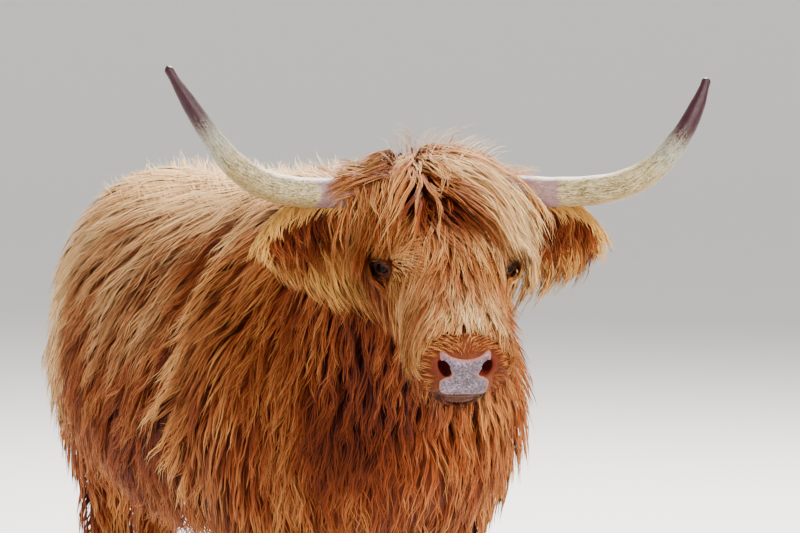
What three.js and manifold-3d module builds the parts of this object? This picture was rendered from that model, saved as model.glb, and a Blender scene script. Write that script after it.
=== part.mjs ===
// A highland cow, life size, standing still with its head turned a little to its right.
// Millimetres. +Z is up, the cow faces -Y and its left side is +X. The origin is on the floor, under the
// middle of the whole animal.
//
// Every form of flesh is a loft: rows of sizes along a line, each row a rounded section that is `wide` to both
// sides, `rise` on its upper or front half and `drop` on the other. Each row also says how deep the coat is
// there, so the same rows give the bare skin, the core of the coat, and the tips of the hair.
import * as THREE from "three";
import { mergeVertices } from "three/addons/utils/BufferGeometryUtils.js";
import Module from "manifold-3d";

const wasm = await Module();
wasm.setup();

// ---------------------------------------------------------------- driving sizes

const GAP = 0.3; // clearance between nodes that touch
const CORE = 0.5; // share of the coat's depth that the solid body fills, under the locks

const HEAD_TURN = THREE.MathUtils.degToRad(-13); // towards the cow's right
const HEAD_PITCH = THREE.MathUtils.degToRad(37); // the face's slope below level
const CROWN = [-25, -600, 1205]; // the point between the horns that the head is measured from

// The eye: its place along the face from the crown and round the skull's section above its widest line, how
// deep its middle is in the coat, its own radius, the radii of the lids and of the slit between them, and how
// far the roots of locks and the locks themselves keep off it.
const EYE = {
  along: 196, angle: 0.2, depth: 16, radius: 19, lids: [33, 26, 22.5], slit: [19, 11, 12], slitOut: 20,
  clearRoot: 45, clearLock: 34,
};
const HOOF_TOP = 64;
const KNEE = 325; // height of the cut between upper and lower front leg
const HOCK = 372; // the same on the hind leg
const CLAW_SPREAD = 25; // from the leg's middle to a claw's middle

// Rows of the trunk: y, height of the widest line, wide, rise, drop, squareness, coat.
const TRUNK_ROWS = [
  [-430, 750, 40, 60, 60, 2, 40],
  [-400, 755, 120, 150, 150, 2.1, 50],
  [-330, 770, 194, 255, 245, 2.2, 60],
  [-200, 780, 246, 340, 295, 2.3, 64],
  [-20, 772, 268, 376, 305, 2.3, 64],
  [180, 757, 304, 372, 302, 2.3, 60],
  [400, 752, 324, 368, 297, 2.3, 60],
  [600, 762, 318, 358, 277, 2.3, 58],
  [760, 795, 290, 326, 245, 2.4, 55],
  [900, 822, 254, 282, 205, 2.3, 52],
  [1000, 842, 204, 228, 160, 2.2, 50],
  [1060, 850, 135, 146, 112, 2.1, 48],
  [1082, 852, 50, 62, 50, 2, 45],
];

// Rows of the neck from the head to the withers: x, y, z, wide, rise, drop, squareness, coat.
const NECK_ROWS = [
  [-24, -562, 1100, 78, 82, 98, 2, 40],
  [-22, -490, 1062, 112, 120, 150, 2.1, 52],
  [-16, -400, 1005, 142, 156, 212, 2.1, 60],
  [-8, -300, 955, 174, 196, 276, 2.2, 64],
  [-1, -190, 912, 206, 240, 306, 2.2, 64],
  [0, -80, 885, 220, 254, 300, 2.2, 60],
];

// Rows of the skull with the muzzle: along, left, out, wide, rise, drop, squareness, coat.
const SKULL_ROWS = [
  [472, 0, -80, 44, 36, 38, 2.4, 3],
  [458, 0, -79, 71, 49, 48, 2.5, 3],
  [430, 0, -77, 84, 56, 53, 2.5, 4],
  [385, 0, -75, 82, 58, 52, 2.4, 7],
  [330, 0, -75, 76, 60, 62, 2.3, 14],
  [270, 0, -78, 84, 67, 84, 2.3, 18],
  [215, 0, -80, 98, 77, 108, 2.4, 18],
  [165, 0, -80, 111, 85, 122, 2.4, 18],
  [100, 0, -80, 120, 88, 122, 2.4, 22],
  [40, 0, -78, 116, 84, 112, 2.4, 24],
  [-10, 0, -76, 100, 72, 98, 2.3, 24],
  [-50, 0, -74, 70, 52, 74, 2.2, 24],
  [-70, 0, -74, 30, 26, 32, 2, 24],
];

// Rows of the chin and lower jaw, in the same measures.
const CHIN_ROWS = [
  [444, 0, -142, 26, 16, 15, 2.2, 4],
  [429, 0, -142, 44, 23, 24, 2.3, 6],
  [385, 0, -141, 52, 27, 30, 2.3, 9],
  [325, 0, -140, 50, 30, 36, 2.2, 14],
  [255, 0, -140, 42, 34, 46, 2.2, 18],
  [215, 0, -140, 20, 20, 24, 2, 18],
];
const MOUTH = {
  out: -122, height: 6, depth: 14, corner: 352, wide: 140, past: 20, blunt: 0.7, outer: 1.2,
};

// Half of the nose pad's outline, seen along the face: left, out.
const NOSE_OUTLINE = [
  [0, -34], [22, -32], [42, -28], [46, -35], [39, -46], [24, -59], [28, -68], [43, -74], [43, -88], [36, -113],
  [0, -116],
];
const NOSE_HALF = 40; // about half of its width
const NOSE_MIDDLE = -76;
const NOSE_BACK = 430; // where the pad's flat back lies, measured along the face
const NOSE_PROUD = 1.5;
const NOSTRIL = { left: 38, out: -54, along: 457, radii: [16, 22, 25], lean: 0.5 };

// Rows of an ear from its root: along the ear, up, towards the opening, wide, rise, drop, squareness, coat.
const EAR_ROWS = [
  [-20, 0, 0, 24, 20, 18, 2, 6],
  [24, 0, 0, 38, 24, 19, 2, 9],
  [76, 0, 0, 57, 24, 18, 2, 12],
  [128, -3, 2, 58, 20, 15, 2, 12],
  [172, -8, 5, 42, 15, 12, 2, 12],
  [202, -13, 8, 20, 9, 8, 2, 10],
  [214, -15, 9, 5, 4, 3, 2, 8],
];
const EAR_CUP_ROWS = [
  [18, 0, 26, 12, 10, 16, 2, 0],
  [42, 0, 28, 31, 12, 30, 2, 0],
  [78, 0, 28, 46, 12, 34, 2, 0],
  [130, -3, 26, 47, 12, 28, 2, 0],
  [168, -8, 22, 31, 10, 18, 2, 0],
  [192, -12, 20, 8, 6, 8, 2, 0],
];
const EAR_ROOT = { along: 44, left: 106, out: -68 };

// Rows of each horn from its root, in the level frame of the head: left, forward, up, radius.
const HORN_ROOT = { along: 22, out: -22 };
const HORN_ROWS = {
  right: [
    [62, 0, 0, 29], [150, 8, -2, 28.5], [240, 24, -1, 27.5], [312, 44, 13, 26.5],
    [368, 57, 46, 24], [414, 58, 100, 19], [455, 48, 163, 13], [494, 36, 229, 4],
  ],
  left: [
    [62, 0, 0, 29], [150, 8, -3, 28.5], [248, 24, -4, 27.5], [330, 44, 7, 26.5],
    [394, 57, 40, 24], [442, 58, 95, 19], [475, 48, 151, 13], [497, 36, 203, 4],
  ],
};

// Rows of the legs from the coronet up: z, distance from the middle, y, wide, front, back, squareness, coat.
const FRONT_LEG_ROWS = [
  [HOOF_TOP + GAP, 148, -178, 38, 42, 38, 2.2, 6],
  [88, 148, -166, 32, 36, 35, 2.2, 9],
  [114, 147, -152, 36, 38, 42, 2.2, 12],
  [145, 146, -150, 30, 32, 37, 2.2, 13],
  [220, 146, -150, 27, 30, 32, 2.2, 14],
  [290, 146, -150, 34, 37, 36, 2.2, 17],
  [345, 147, -149, 43, 47, 45, 2.3, 22],
  [430, 158, -145, 50, 56, 61, 2.3, 36],
  [520, 174, -140, 68, 76, 88, 2.3, 46],
  [610, 190, -142, 90, 108, 110, 2.3, 52],
  [720, 200, -146, 98, 134, 126, 2.3, 54],
  [850, 192, -136, 84, 128, 126, 2.2, 54],
  [960, 150, -112, 60, 95, 105, 2.1, 45],
  [1020, 130, -100, 30, 45, 50, 2, 40],
];
const HIND_LEG_ROWS = [
  [HOOF_TOP + GAP, 148, 884, 38, 42, 38, 2.2, 6],
  [88, 148, 898, 32, 36, 35, 2.2, 9],
  [114, 147, 914, 36, 38, 42, 2.2, 12],
  [145, 146, 920, 30, 32, 37, 2.2, 13],
  [220, 146, 934, 27, 30, 33, 2.2, 14],
  [300, 146, 950, 31, 35, 38, 2.2, 16],
  [360, 146, 962, 38, 43, 50, 2.3, 20],
  [410, 148, 955, 39, 48, 52, 2.3, 26],
  [470, 152, 928, 50, 66, 64, 2.3, 34],
  [550, 162, 884, 70, 104, 96, 2.3, 42],
  [640, 174, 846, 88, 142, 132, 2.3, 46],
  [750, 180, 828, 94, 158, 150, 2.3, 48],
  [870, 168, 824, 84, 150, 146, 2.2, 48],
  [980, 140, 826, 56, 100, 104, 2.1, 44],
  [1040, 120, 830, 26, 40, 44, 2, 40],
];
const LEG_SWING = 640; // below this height a leg swings by its stride
const LEGS = [
  { name: "front_right", side: -1, rows: FRONT_LEG_ROWS, cut: KNEE, stride: -38 },
  { name: "front_left", side: 1, rows: FRONT_LEG_ROWS, cut: KNEE, stride: 34 },
  { name: "hind_right", side: -1, rows: HIND_LEG_ROWS, cut: HOCK, stride: 52 },
  { name: "hind_left", side: 1, rows: HIND_LEG_ROWS, cut: HOCK, stride: -46 },
];

// Rows of a claw of a hoof, and of a dewclaw: height, wide, front, back, squareness.
const CLAW_ROWS = [
  [0, 20.5, 58, 44, 2.5],
  [30, 23.5, 50, 43, 2.5],
  [HOOF_TOP, 27.5, 37, 37, 2.3],
];
const DEWCLAW = { height: 100, length: 26, radius: 12, apart: 20, back: 46 };

// Rows of the tail from the tip of its switch up: x, y, z, wide, rise, drop, squareness, coat.
const TAIL_ROWS = [
  [12, 1140, 262, 6, 6, 6, 2, 10],
  [11, 1134, 310, 26, 24, 24, 2, 20],
  [9, 1126, 400, 38, 34, 34, 2, 26],
  [7, 1121, 500, 32, 30, 30, 2, 24],
  [5, 1118, 620, 20, 20, 20, 2, 18],
  [3, 1117, 780, 20, 20, 20, 2, 14],
  [1, 1110, 890, 23, 23, 23, 2, 14],
  [0, 1086, 972, 27, 26, 26, 2, 16],
  [0, 1036, 1016, 32, 28, 28, 2, 18],
  [0, 975, 1018, 34, 26, 26, 2, 18],
];

const UDDER = { y: 690, z: 505, wide: 92, long: 118, deep: 74, teatLength: 34, teatRadius: 9, clearRoot: 175 };

// What all locks share: the steps of their line, how high they stand where they turn over, how evenly they
// rise from there, how much of its direction a lock keeps at each step, the part of it that is held to the
// body when it hangs, how near the body it must be to feel it, and how far a root must be from the next form.
// `sway` and `waves` bend the locks of a place together and `stray` each by itself, in `bend` turns from a
// start set by `swing`; `longer` and `wider` vary their sizes. The blade's rings are [step, share of the
// width, thickness by width]. The copy of a lock that cuts its neighbours is `grow` gaps wider, and may leave
// `outside` cubic millimetres of it bare. A lock is tried at each of the `shorter` lengths until `kept` of it
// clears its neighbours.
const LOCK = {
  seed: 12, steps: 12, neck: 8, lift: 0.9, stiff: 0.5, held: 0.2, reach: 150, buried: 4,
  sway: 0.26, waves: [170, 120], stray: 0.1, bend: 5, swing: 9, longer: 0.16, wider: 0.12,
  blade: [[0, 0.2, 0.09], [4, 1, 0.09], [8, 0.76, 0.075]],
  grow: 1.5, firm: 1e-3, shorter: [1, 0.8, 0.62, 0.45], kept: 0.7, outside: 0.2,
};
// The locks of each kind: length, width, how deep the root is sunk, how far apart the roots are along the form
// and round it, the rows or heights of the form and the angles round it, in degrees, between which they grow,
// and how far the tips stand over the coat.
const LOCKS = {
  body: { length: 450, wide: 168, sink: 14, apart: [188, 256], rows: [2.7, 10.8], angles: [-90, 270] },
  rump: { length: 300, wide: 110, sink: 14, apart: [120, 180], rows: [10.6, 11.9], angles: [-50, 230] },
  chest: { length: 260, wide: 96, sink: 12, apart: [105, 140], rows: [0.3, 3], angles: [-160, -20] },
  neck: { length: 330, wide: 118, sink: 14, apart: [132, 175], rows: [0.2, 4.6], angles: [-90, 270] },
  thigh: { length: 290, wide: 105, sink: 12, apart: [190, 136], above: 40, angles: [-115, 115] },
  shin: { length: 120, wide: 50, sink: 9, apart: [85, 90], from: 120, below: 30, angles: [225, 315] },
  forelock: {
    length: 265, wide: 52, sink: 9, apart: [48, 48], rows: [8.2, 11.2], angles: [48, 138], over: 14,
  },
  bridge: { length: 140, wide: 48, sink: 7, apart: [70, 50], rows: [5, 7], angles: [-10, 190] },
  cheek: { length: 130, wide: 60, sink: 9, apart: [68, 74], rows: [4.6, 9.4], angles: [-70, 12], over: 14 },
  beard: { length: 85, wide: 40, sink: 8, apart: [56, 54], rows: [1.6, 4], angles: [200, 340] },
  ear: { length: 125, wide: 50, sink: 7, apart: [34, 60], rows: [0.9, 5.6], angles: [140, 185] },
  tail: { length: 210, wide: 54, sink: 8, apart: [118, 84], rows: [1.2, 4.2], angles: [0, 360] },
};
// How the locks lie: how far back along the body, from where this sets in and how far on it is full, how far
// back on the legs, how those of the forehead and the bridge of the nose turn down and part to both sides, how
// far back on the cheeks, and on an ear how far out, down at the root, and further down towards the tip.
const LIE = {
  back: 0.42, from: -450, full: 450, legs: 0.08, foreheadDown: 0.5, foreheadPart: 150, bridgePart: 260,
  cheekBack: 0.25, ear: [0.5, 0.4, 2],
};

// ---------------------------------------------------------------- lofts

const X = new THREE.Vector3(1, 0, 0);
const Y = new THREE.Vector3(0, 1, 0);
const Z = new THREE.Vector3(0, 0, 1);

// A smooth curve through rows of numbers; t runs from 0 to the last row's index.
function mixRows(rows, t) {
  const i = Math.min(Math.max(Math.floor(t), 0), rows.length - 2);
  const f = t - i;
  const [p, a, b, n] = [-1, 0, 1, 2].map((step) => rows[THREE.MathUtils.clamp(i + step, 0, rows.length - 1)]);
  return a.map((_, k) => 0.5 * (
    2 * a[k] + (b[k] - p[k]) * f
    + (2 * p[k] - 5 * a[k] + 4 * b[k] - n[k]) * f * f
    + (3 * a[k] - p[k] - 3 * b[k] + n[k]) * f * f * f
  ));
}

// Triangles wound so that they all face out.
function facingOut(points, triangles) {
  const volume = triangles.reduce((sum, [a, b, c]) => (
    sum + points[a].dot(new THREE.Vector3().crossVectors(points[b], points[c]))
  ), 0);
  return volume < 0 ? triangles.map(([a, b, c]) => [a, c, b]) : triangles;
}

// Makes a closed solid from a list of points and triangles.
function solidOf(points, triangles) {
  return new wasm.Manifold(new wasm.Mesh({
    numProp: 3,
    vertProperties: new Float32Array(points.flatMap((p) => [p.x, p.y, p.z])),
    triVerts: new Uint32Array(facingOut(points, triangles).flat()),
  }));
}

// The points of a closed surface, moved so that the faces around each go out by `grow`. `firm` keeps the
// points of thin edges from going much further.
function pushedOut(points, triangles, grow, firm) {
  const around = points.map(() => []);
  for (const corners of facingOut(points, triangles)) {
    const [a, b, c] = corners.map((i) => points[i]);
    const normal = b.clone().sub(a).cross(c.clone().sub(a)).normalize();
    for (const i of corners) around[i].push(normal);
  }
  return points.map((point, i) => {
    const total = around[i].reduce((sum, normal) => sum.add(normal), new THREE.Vector3());
    const spread = new THREE.Matrix3();
    for (let k = 0; k < 9; k++) {
      const [row, column] = [Math.floor(k / 3), k % 3];
      spread.elements[k] = around[i].reduce((sum, normal) => (
        sum + normal.getComponent(row) * normal.getComponent(column)
      ), row === column ? firm : 0);
    }
    return point.clone().addScaledVector(total.applyMatrix3(spread.invert()), grow);
  });
}

// Closes rings of points, all with as many points, with a fan at each end.
function loftRings(rings, firstPole, lastPole) {
  const sides = rings[0].length;
  const points = [firstPole, ...rings.flat(), lastPole];
  const at = (ring, side) => 1 + ring * sides + (side % sides);
  const triangles = [];
  for (let side = 0; side < sides; side++) {
    triangles.push([0, at(0, side + 1), at(0, side)]);
    for (let ring = 0; ring + 1 < rings.length; ring++) {
      triangles.push([at(ring, side), at(ring, side + 1), at(ring + 1, side)]);
      triangles.push([at(ring, side + 1), at(ring + 1, side + 1), at(ring + 1, side)]);
    }
    triangles.push([at(rings.length - 1, side), at(rings.length - 1, side + 1), points.length - 1]);
  }
  return solidOf(points, triangles);
}

// A three.js geometry, placed by a matrix, as a solid.
function solidOfGeometry(geometry, matrix) {
  const bare = new THREE.BufferGeometry().setAttribute("position", geometry.getAttribute("position"));
  if (geometry.index) bare.setIndex(geometry.index);
  const merged = mergeVertices(bare.applyMatrix4(matrix), 1e-3);
  const place = merged.getAttribute("position");
  const points = Array.from({ length: place.count }, (_, i) => (
    new THREE.Vector3().fromBufferAttribute(place, i)
  ));
  const index = Array.from(merged.index.array);
  const triangles = Array.from({ length: index.length / 3 }, (_, i) => index.slice(3 * i, 3 * i + 3));
  return solidOf(points, triangles.filter(([a, b, c]) => a !== b && b !== c && c !== a));
}

// How far a point stands off the outline of a section, `f` of the way from one section to the next.
function offSection(point, s, next, f) {
  const mix = (a, b) => a + (b - a) * f;
  const v = point.clone().sub(s.centre.clone().lerp(next.centre, f));
  const [a, b] = [v.dot(s.side), v.dot(s.upper)];
  const tall = b > 0 ? mix(s.rise, next.rise) : mix(s.drop, next.drop);
  const across = Math.abs(a / mix(s.wide, next.wide)) ** s.square;
  const ratio = (across + Math.abs(b / tall) ** s.square) ** (1 / s.square);
  return ratio < 1e-3 ? -tall : Math.hypot(a, b) * (1 - 1 / ratio);
}

// A loft. Rows are x, y, z, wide, rise, drop, squareness, coat. `frame` holds the directions of its sections,
// side and upper, and its line; without one they follow the line, with the upper side kept towards `upper`.
class Form {
  constructor(rows, { sides, rings, frame, upper, coatOnTop = 1, coatBelow = 1, roundEnds = true }) {
    Object.assign(this, { rows, sides, rings, frame, upper, coatOnTop, coatBelow, roundEnds });
    this.last = rows.length - 1;
  }

  directions(t) {
    if (this.frame) return this.frame;
    const step = 0.01;
    const behind = new THREE.Vector3(...mixRows(this.rows, Math.max(t - step, 0)));
    const ahead = new THREE.Vector3(...mixRows(this.rows, Math.min(t + step, this.last)));
    const line = ahead.sub(behind).normalize();
    const side = new THREE.Vector3().crossVectors(line, this.upper).normalize();
    return { side, upper: new THREE.Vector3().crossVectors(side, line), line };
  }

  section(t, share, grow = 0) {
    const [x, y, z, wide, rise, drop, square, coat] = mixRows(this.rows, t);
    const { side, upper, line } = this.directions(t);
    const hair = share * coat;
    const centre = new THREE.Vector3(x, y, z);
    if (t === 0) centre.addScaledVector(line, -(this.roundEnds ? hair : 0) - grow);
    if (t === this.last) centre.addScaledVector(line, (this.roundEnds ? hair : 0) + grow);
    return {
      centre, side, upper, line, square,
      wide: wide + hair + grow,
      rise: rise + hair * this.coatOnTop + grow,
      drop: drop + hair * this.coatBelow + grow,
    };
  }

  // The surface at `angle` round the section: 0 is the side, a quarter turn is the upper side.
  point(t, angle, share, grow = 0) {
    const s = this.section(t, share, grow);
    const [c, h] = [Math.cos(angle), Math.sin(angle)];
    const soft = (v) => Math.sign(v) * Math.abs(v) ** (2 / s.square);
    return s.centre.clone()
      .addScaledVector(s.side, s.wide * soft(c))
      .addScaledVector(s.upper, (h > 0 ? s.rise : s.drop) * soft(h));
  }

  // How far a point stands off the core, and less than zero inside it.
  height(point) {
    const count = 3 * this.rings;
    this.sections ??= Array.from({ length: count + 1 }, (_, i) => this.section(this.last * i / count, CORE));
    const ahead = this.sections.map(({ centre, line }) => (
      (point.x - centre.x) * line.x + (point.y - centre.y) * line.y + (point.z - centre.z) * line.z
    ));
    let lowest = Infinity;
    for (let i = 0; i < count; i++) {
      if (ahead[i] < 0 || ahead[i + 1] >= 0) continue;
      const f = ahead[i] / (ahead[i] - ahead[i + 1]);
      lowest = Math.min(lowest, offSection(point, this.sections[i], this.sections[i + 1], f));
    }
    for (const [end, past] of [[0, -ahead[0]], [count, ahead[count]]]) {
      if (past < 0) continue;
      const off = offSection(point, this.sections[end], this.sections[end], 0);
      lowest = Math.min(lowest, off > 0 ? Math.hypot(off, past) : past);
    }
    return lowest;
  }

  // Numbers of rows that are `spacing` apart over the form's side.
  rowsAlong(spacing, from, to) {
    const fine = 12;
    const found = [];
    let walked = spacing;
    for (let i = Math.ceil(from * fine); i < to * fine; i++) {
      walked += this.point(i / fine, 0, CORE).distanceTo(this.point((i + 1) / fine, 0, CORE));
      if (walked < spacing) continue;
      walked -= spacing;
      found.push((i + 1) / fine);
    }
    return found;
  }

  // Angles from `low` to `high` that are `spacing` apart round the section, the first one `start` spacings in.
  anglesRound(t, spacing, low, high, start) {
    const fine = 90;
    const found = [];
    let walked = spacing * (1 - start);
    for (let i = 0; i < fine; i++) {
      const [a, b] = [i, i + 1].map((k) => low + (high - low) * k / fine);
      walked += this.point(t, a, CORE).distanceTo(this.point(t, b, CORE));
      if (walked < spacing) continue;
      walked -= spacing;
      found.push(b);
    }
    return found;
  }

  solid(share, grow = 0) {
    const rings = Array.from({ length: this.rings + 1 }, (_, i) => (
      Array.from({ length: this.sides }, (_, j) => (
        this.point(this.last * i / this.rings, 2 * Math.PI * (j + 0.5) / this.sides, share, grow)
      ))
    ));
    return loftRings(rings, this.section(0, share, grow).centre, this.section(this.last, share, grow).centre);
  }
}

// ---------------------------------------------------------------- forms of the body

const TRUNK_FRAME = { side: X, upper: Z, line: Y };
const trunk = new Form(
  TRUNK_ROWS.map(([y, z, ...sizes]) => [0, y, z, ...sizes]),
  { sides: 22, rings: 16, frame: TRUNK_FRAME, coatOnTop: 0.65, coatBelow: 1.2 },
);
const neck = new Form(NECK_ROWS, { sides: 18, rings: 7, upper: Z, coatOnTop: 0.8, coatBelow: 1.2 });

// The head's own measures: along the face from the crown, to the cow's left, and out from the face.
const levelForward = new THREE.Vector3(Math.sin(HEAD_TURN), -Math.cos(HEAD_TURN), 0);
const headLeft = new THREE.Vector3(Math.cos(HEAD_TURN), Math.sin(HEAD_TURN), 0);
const alongFace = levelForward.clone().multiplyScalar(Math.cos(HEAD_PITCH))
  .addScaledVector(Z, -Math.sin(HEAD_PITCH));
const outOfFace = levelForward.clone().multiplyScalar(Math.sin(HEAD_PITCH))
  .addScaledVector(Z, Math.cos(HEAD_PITCH));
const headFrame = { side: headLeft, upper: outOfFace, line: alongFace.clone().negate() };

function onHead(along, left, out) {
  return new THREE.Vector3(...CROWN)
    .addScaledVector(alongFace, along).addScaledVector(headLeft, left).addScaledVector(outOfFace, out);
}

const headForm = (rows, sides, rings) => new Form(
  rows.map(([along, left, out, ...sizes]) => [...onHead(along, left, out).toArray(), ...sizes]),
  { sides, rings, frame: headFrame },
);
const skull = headForm(SKULL_ROWS, 20, 17);
const chin = headForm(CHIN_ROWS, 10, 5);

function legForm({ side, rows, stride }) {
  const placed = rows.map(([z, apart, y, ...sizes]) => (
    [side * apart, y + stride * Math.max(0, 1 - z / LEG_SWING), z, ...sizes]
  ));
  const frame = { side: X, upper: Y.clone().negate(), line: Z };
  return new Form(placed, { sides: 12, rings: 15, frame, roundEnds: false });
}

const tail = new Form(TAIL_ROWS, { sides: 8, rings: 12, upper: Y, roundEnds: false });

// Each ear has its own measures: along the ear, up, and towards its opening.
function earForm(side, rows, sides, rings) {
  const line = headLeft.clone().multiplyScalar(0.96 * side)
    .addScaledVector(Z, -0.14).addScaledVector(levelForward, -0.2).normalize();
  const opening = levelForward.clone().addScaledVector(Z, -0.25);
  opening.addScaledVector(line, -opening.dot(line)).normalize();
  const up = new THREE.Vector3().crossVectors(opening, line).multiplyScalar(side).normalize();
  const root = onHead(EAR_ROOT.along, EAR_ROOT.left * side, EAR_ROOT.out);
  const placed = rows.map(([along, high, open, ...sizes]) => [
    ...root.clone().addScaledVector(line, along)
      .addScaledVector(up, high).addScaledVector(opening, open).toArray(),
    ...sizes,
  ]);
  return new Form(placed, { sides, rings, frame: { side: up, upper: opening, line } });
}

function hornForm(sideName) {
  const side = sideName === "left" ? 1 : -1;
  const root = onHead(HORN_ROOT.along, 0, HORN_ROOT.out);
  const placed = HORN_ROWS[sideName].map(([left, forward, up, radius]) => [
    ...root.clone().addScaledVector(headLeft, left * side)
      .addScaledVector(levelForward, forward).addScaledVector(Z, up).toArray(),
    radius, radius, radius, 2, 0,
  ]);
  return new Form(placed, { sides: 9, rings: 11, upper: levelForward });
}

// ---------------------------------------------------------------- parts of the head

function ellipsoid(centre, axes, radii, around, down) {
  const matrix = new THREE.Matrix4().makeBasis(...axes).scale(new THREE.Vector3(...radii)).setPosition(centre);
  return solidOfGeometry(new THREE.SphereGeometry(1, around, down), matrix);
}

// The row number, with its fraction, at a place along the face.
function skullRow(along) {
  const after = SKULL_ROWS.findIndex(([place]) => place <= along);
  const [before, behind] = [SKULL_ROWS[after - 1][0], SKULL_ROWS[after][0]];
  return after - (along - behind) / (before - behind);
}

// The eye looks outwards and forwards; its lids are a swelling of the face with an almond slit.
function eyeParts(side) {
  const gaze = headLeft.clone().multiplyScalar(0.8 * side)
    .addScaledVector(levelForward, 0.56).addScaledVector(Z, 0.08).normalize();
  const surface = skull.point(skullRow(EYE.along), side > 0 ? EYE.angle : Math.PI - EYE.angle, 1);
  const centre = surface.clone().addScaledVector(gaze, -EYE.depth);
  const corner = new THREE.Vector3().crossVectors(outOfFace, gaze).normalize();
  const high = new THREE.Vector3().crossVectors(gaze, corner).normalize();
  const axes = [corner, high, gaze];
  const ball = (radius) => ellipsoid(centre, axes, [radius, radius, radius], 10, 6);
  return {
    ball: ball(EYE.radius),
    socket: ball(EYE.radius + GAP),
    lids: ellipsoid(centre, axes, EYE.lids, 10, 6),
    slit: ellipsoid(centre.clone().addScaledVector(gaze, EYE.slitOut), axes, EYE.slit, 8, 6),
    centre,
  };
}

// A bar along the face with the outline of the nose pad.
function nosePrism(scale, back) {
  const shape = new THREE.Shape();
  const half = NOSE_OUTLINE.map(([left, out]) => [left * scale, NOSE_MIDDLE + (out - NOSE_MIDDLE) * scale]);
  const ring = [...half, ...half.slice(1, -1).reverse().map(([left, out]) => [-left, out])];
  ring.forEach(([left, out], i) => (i ? shape.lineTo(left, out) : shape.moveTo(left, out)));
  const prism = new THREE.ExtrudeGeometry(shape, { depth: 100, steps: 1, bevelEnabled: false });
  const matrix = new THREE.Matrix4()
    .makeBasis(headLeft.clone().negate(), outOfFace, alongFace).setPosition(onHead(back, 0, 0));
  return solidOfGeometry(prism, matrix);
}

function nostril(side) {
  const high = outOfFace.clone().addScaledVector(headLeft, NOSTRIL.lean * side).normalize();
  const across = new THREE.Vector3().crossVectors(high, alongFace).normalize();
  const centre = onHead(NOSTRIL.along, NOSTRIL.left * side, NOSTRIL.out);
  return ellipsoid(centre, [across, high, alongFace], NOSTRIL.radii, 8, 6);
}

// The slot between the lips: a flat band round the muzzle, from one corner of the mouth to the other.
function mouthGroove() {
  const steps = 8;
  const front = Math.max(...SKULL_ROWS.map(([along]) => along));
  const arc = (inset) => Array.from({ length: steps + 1 }, (_, i) => {
    const angle = Math.PI * i / steps;
    const ahead = (front - MOUTH.corner + MOUTH.past) * Math.sin(angle) ** MOUTH.blunt;
    return new THREE.Vector2(MOUTH.wide / 2 * Math.cos(angle), ahead).multiplyScalar(inset);
  });
  const inner = 1 - 2 * (MOUTH.depth + 10) / MOUTH.wide;
  const shape = new THREE.Shape([...arc(MOUTH.outer), ...arc(inner).reverse()]);
  const band = new THREE.ExtrudeGeometry(shape, { depth: MOUTH.height, steps: 1, bevelEnabled: false });
  const matrix = new THREE.Matrix4()
    .makeBasis(headLeft, alongFace, headLeft.clone().cross(alongFace))
    .setPosition(onHead(MOUTH.corner, 0, MOUTH.out));
  return solidOfGeometry(band, matrix);
}

// ---------------------------------------------------------------- locks of the coat

// Random numbers from 0 to 1 that come out the same each time.
function seeded(seed) {
  let state = seed;
  return () => {
    state = (state + 0x6d2b79f5) | 0;
    let mixed = Math.imul(state ^ (state >>> 15), 1 | state);
    mixed = (mixed + Math.imul(mixed ^ (mixed >>> 7), 61 | mixed)) ^ mixed;
    return ((mixed ^ (mixed >>> 14)) >>> 0) / 2 ** 32;
  };
}

// The height of a point over the whole body, and the way out of it there.
const bodyHeight = (point, forms) => Math.min(...forms.map((form) => form.height(point)));
function wayOut(point, forms) {
  const step = 3;
  const here = bodyHeight(point, forms);
  return new THREE.Vector3(...[X, Y, Z].map((axis) => (
    bodyHeight(point.clone().addScaledVector(axis, step), forms) - here
  ))).normalize();
}

// The line of a lock. It stands up out of the core, turns over and goes where `lie` says while it keeps to the
// body, and rises evenly to the tips of the coat. A hanging lock only keeps clear of the body.
function lockPath(forms, { root, length, sink, rise, lie, sway, hang }) {
  let out = wayOut(root, forms);
  let before = lie(root, 0);
  before.addScaledVector(out, -before.dot(out)).normalize();
  const path = [{ place: root.clone().addScaledVector(out, -sink), out: before.clone().negate() }];
  const place = root.clone();
  for (let i = 0; i < LOCK.steps; i++) {
    const part = i / (LOCK.steps - 1);
    const held = !hang || part < LOCK.held;
    const short = LOCK.neck + (rise - LOCK.neck) * part ** LOCK.lift - bodyHeight(place, forms);
    if (held || short > 0) place.addScaledVector(out, short);
    path.push({ place: place.clone(), out: i ? out.clone() : out.clone().sub(before).normalize() });
    const way = lie(place, part);
    way.addScaledVector(way.clone().cross(out), sway * Math.sin(LOCK.bend * part + LOCK.swing * sway));
    const into = way.dot(out);
    if (held || into < 0) way.addScaledVector(out, -into);
    before = way.normalize().lerp(before, LOCK.stiff).normalize();
    place.addScaledVector(before, length / LOCK.steps);
    if (bodyHeight(place, forms) < LOCK.reach) out = wayOut(place, forms).lerp(out, LOCK.stiff).normalize();
  }
  return path;
}

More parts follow.
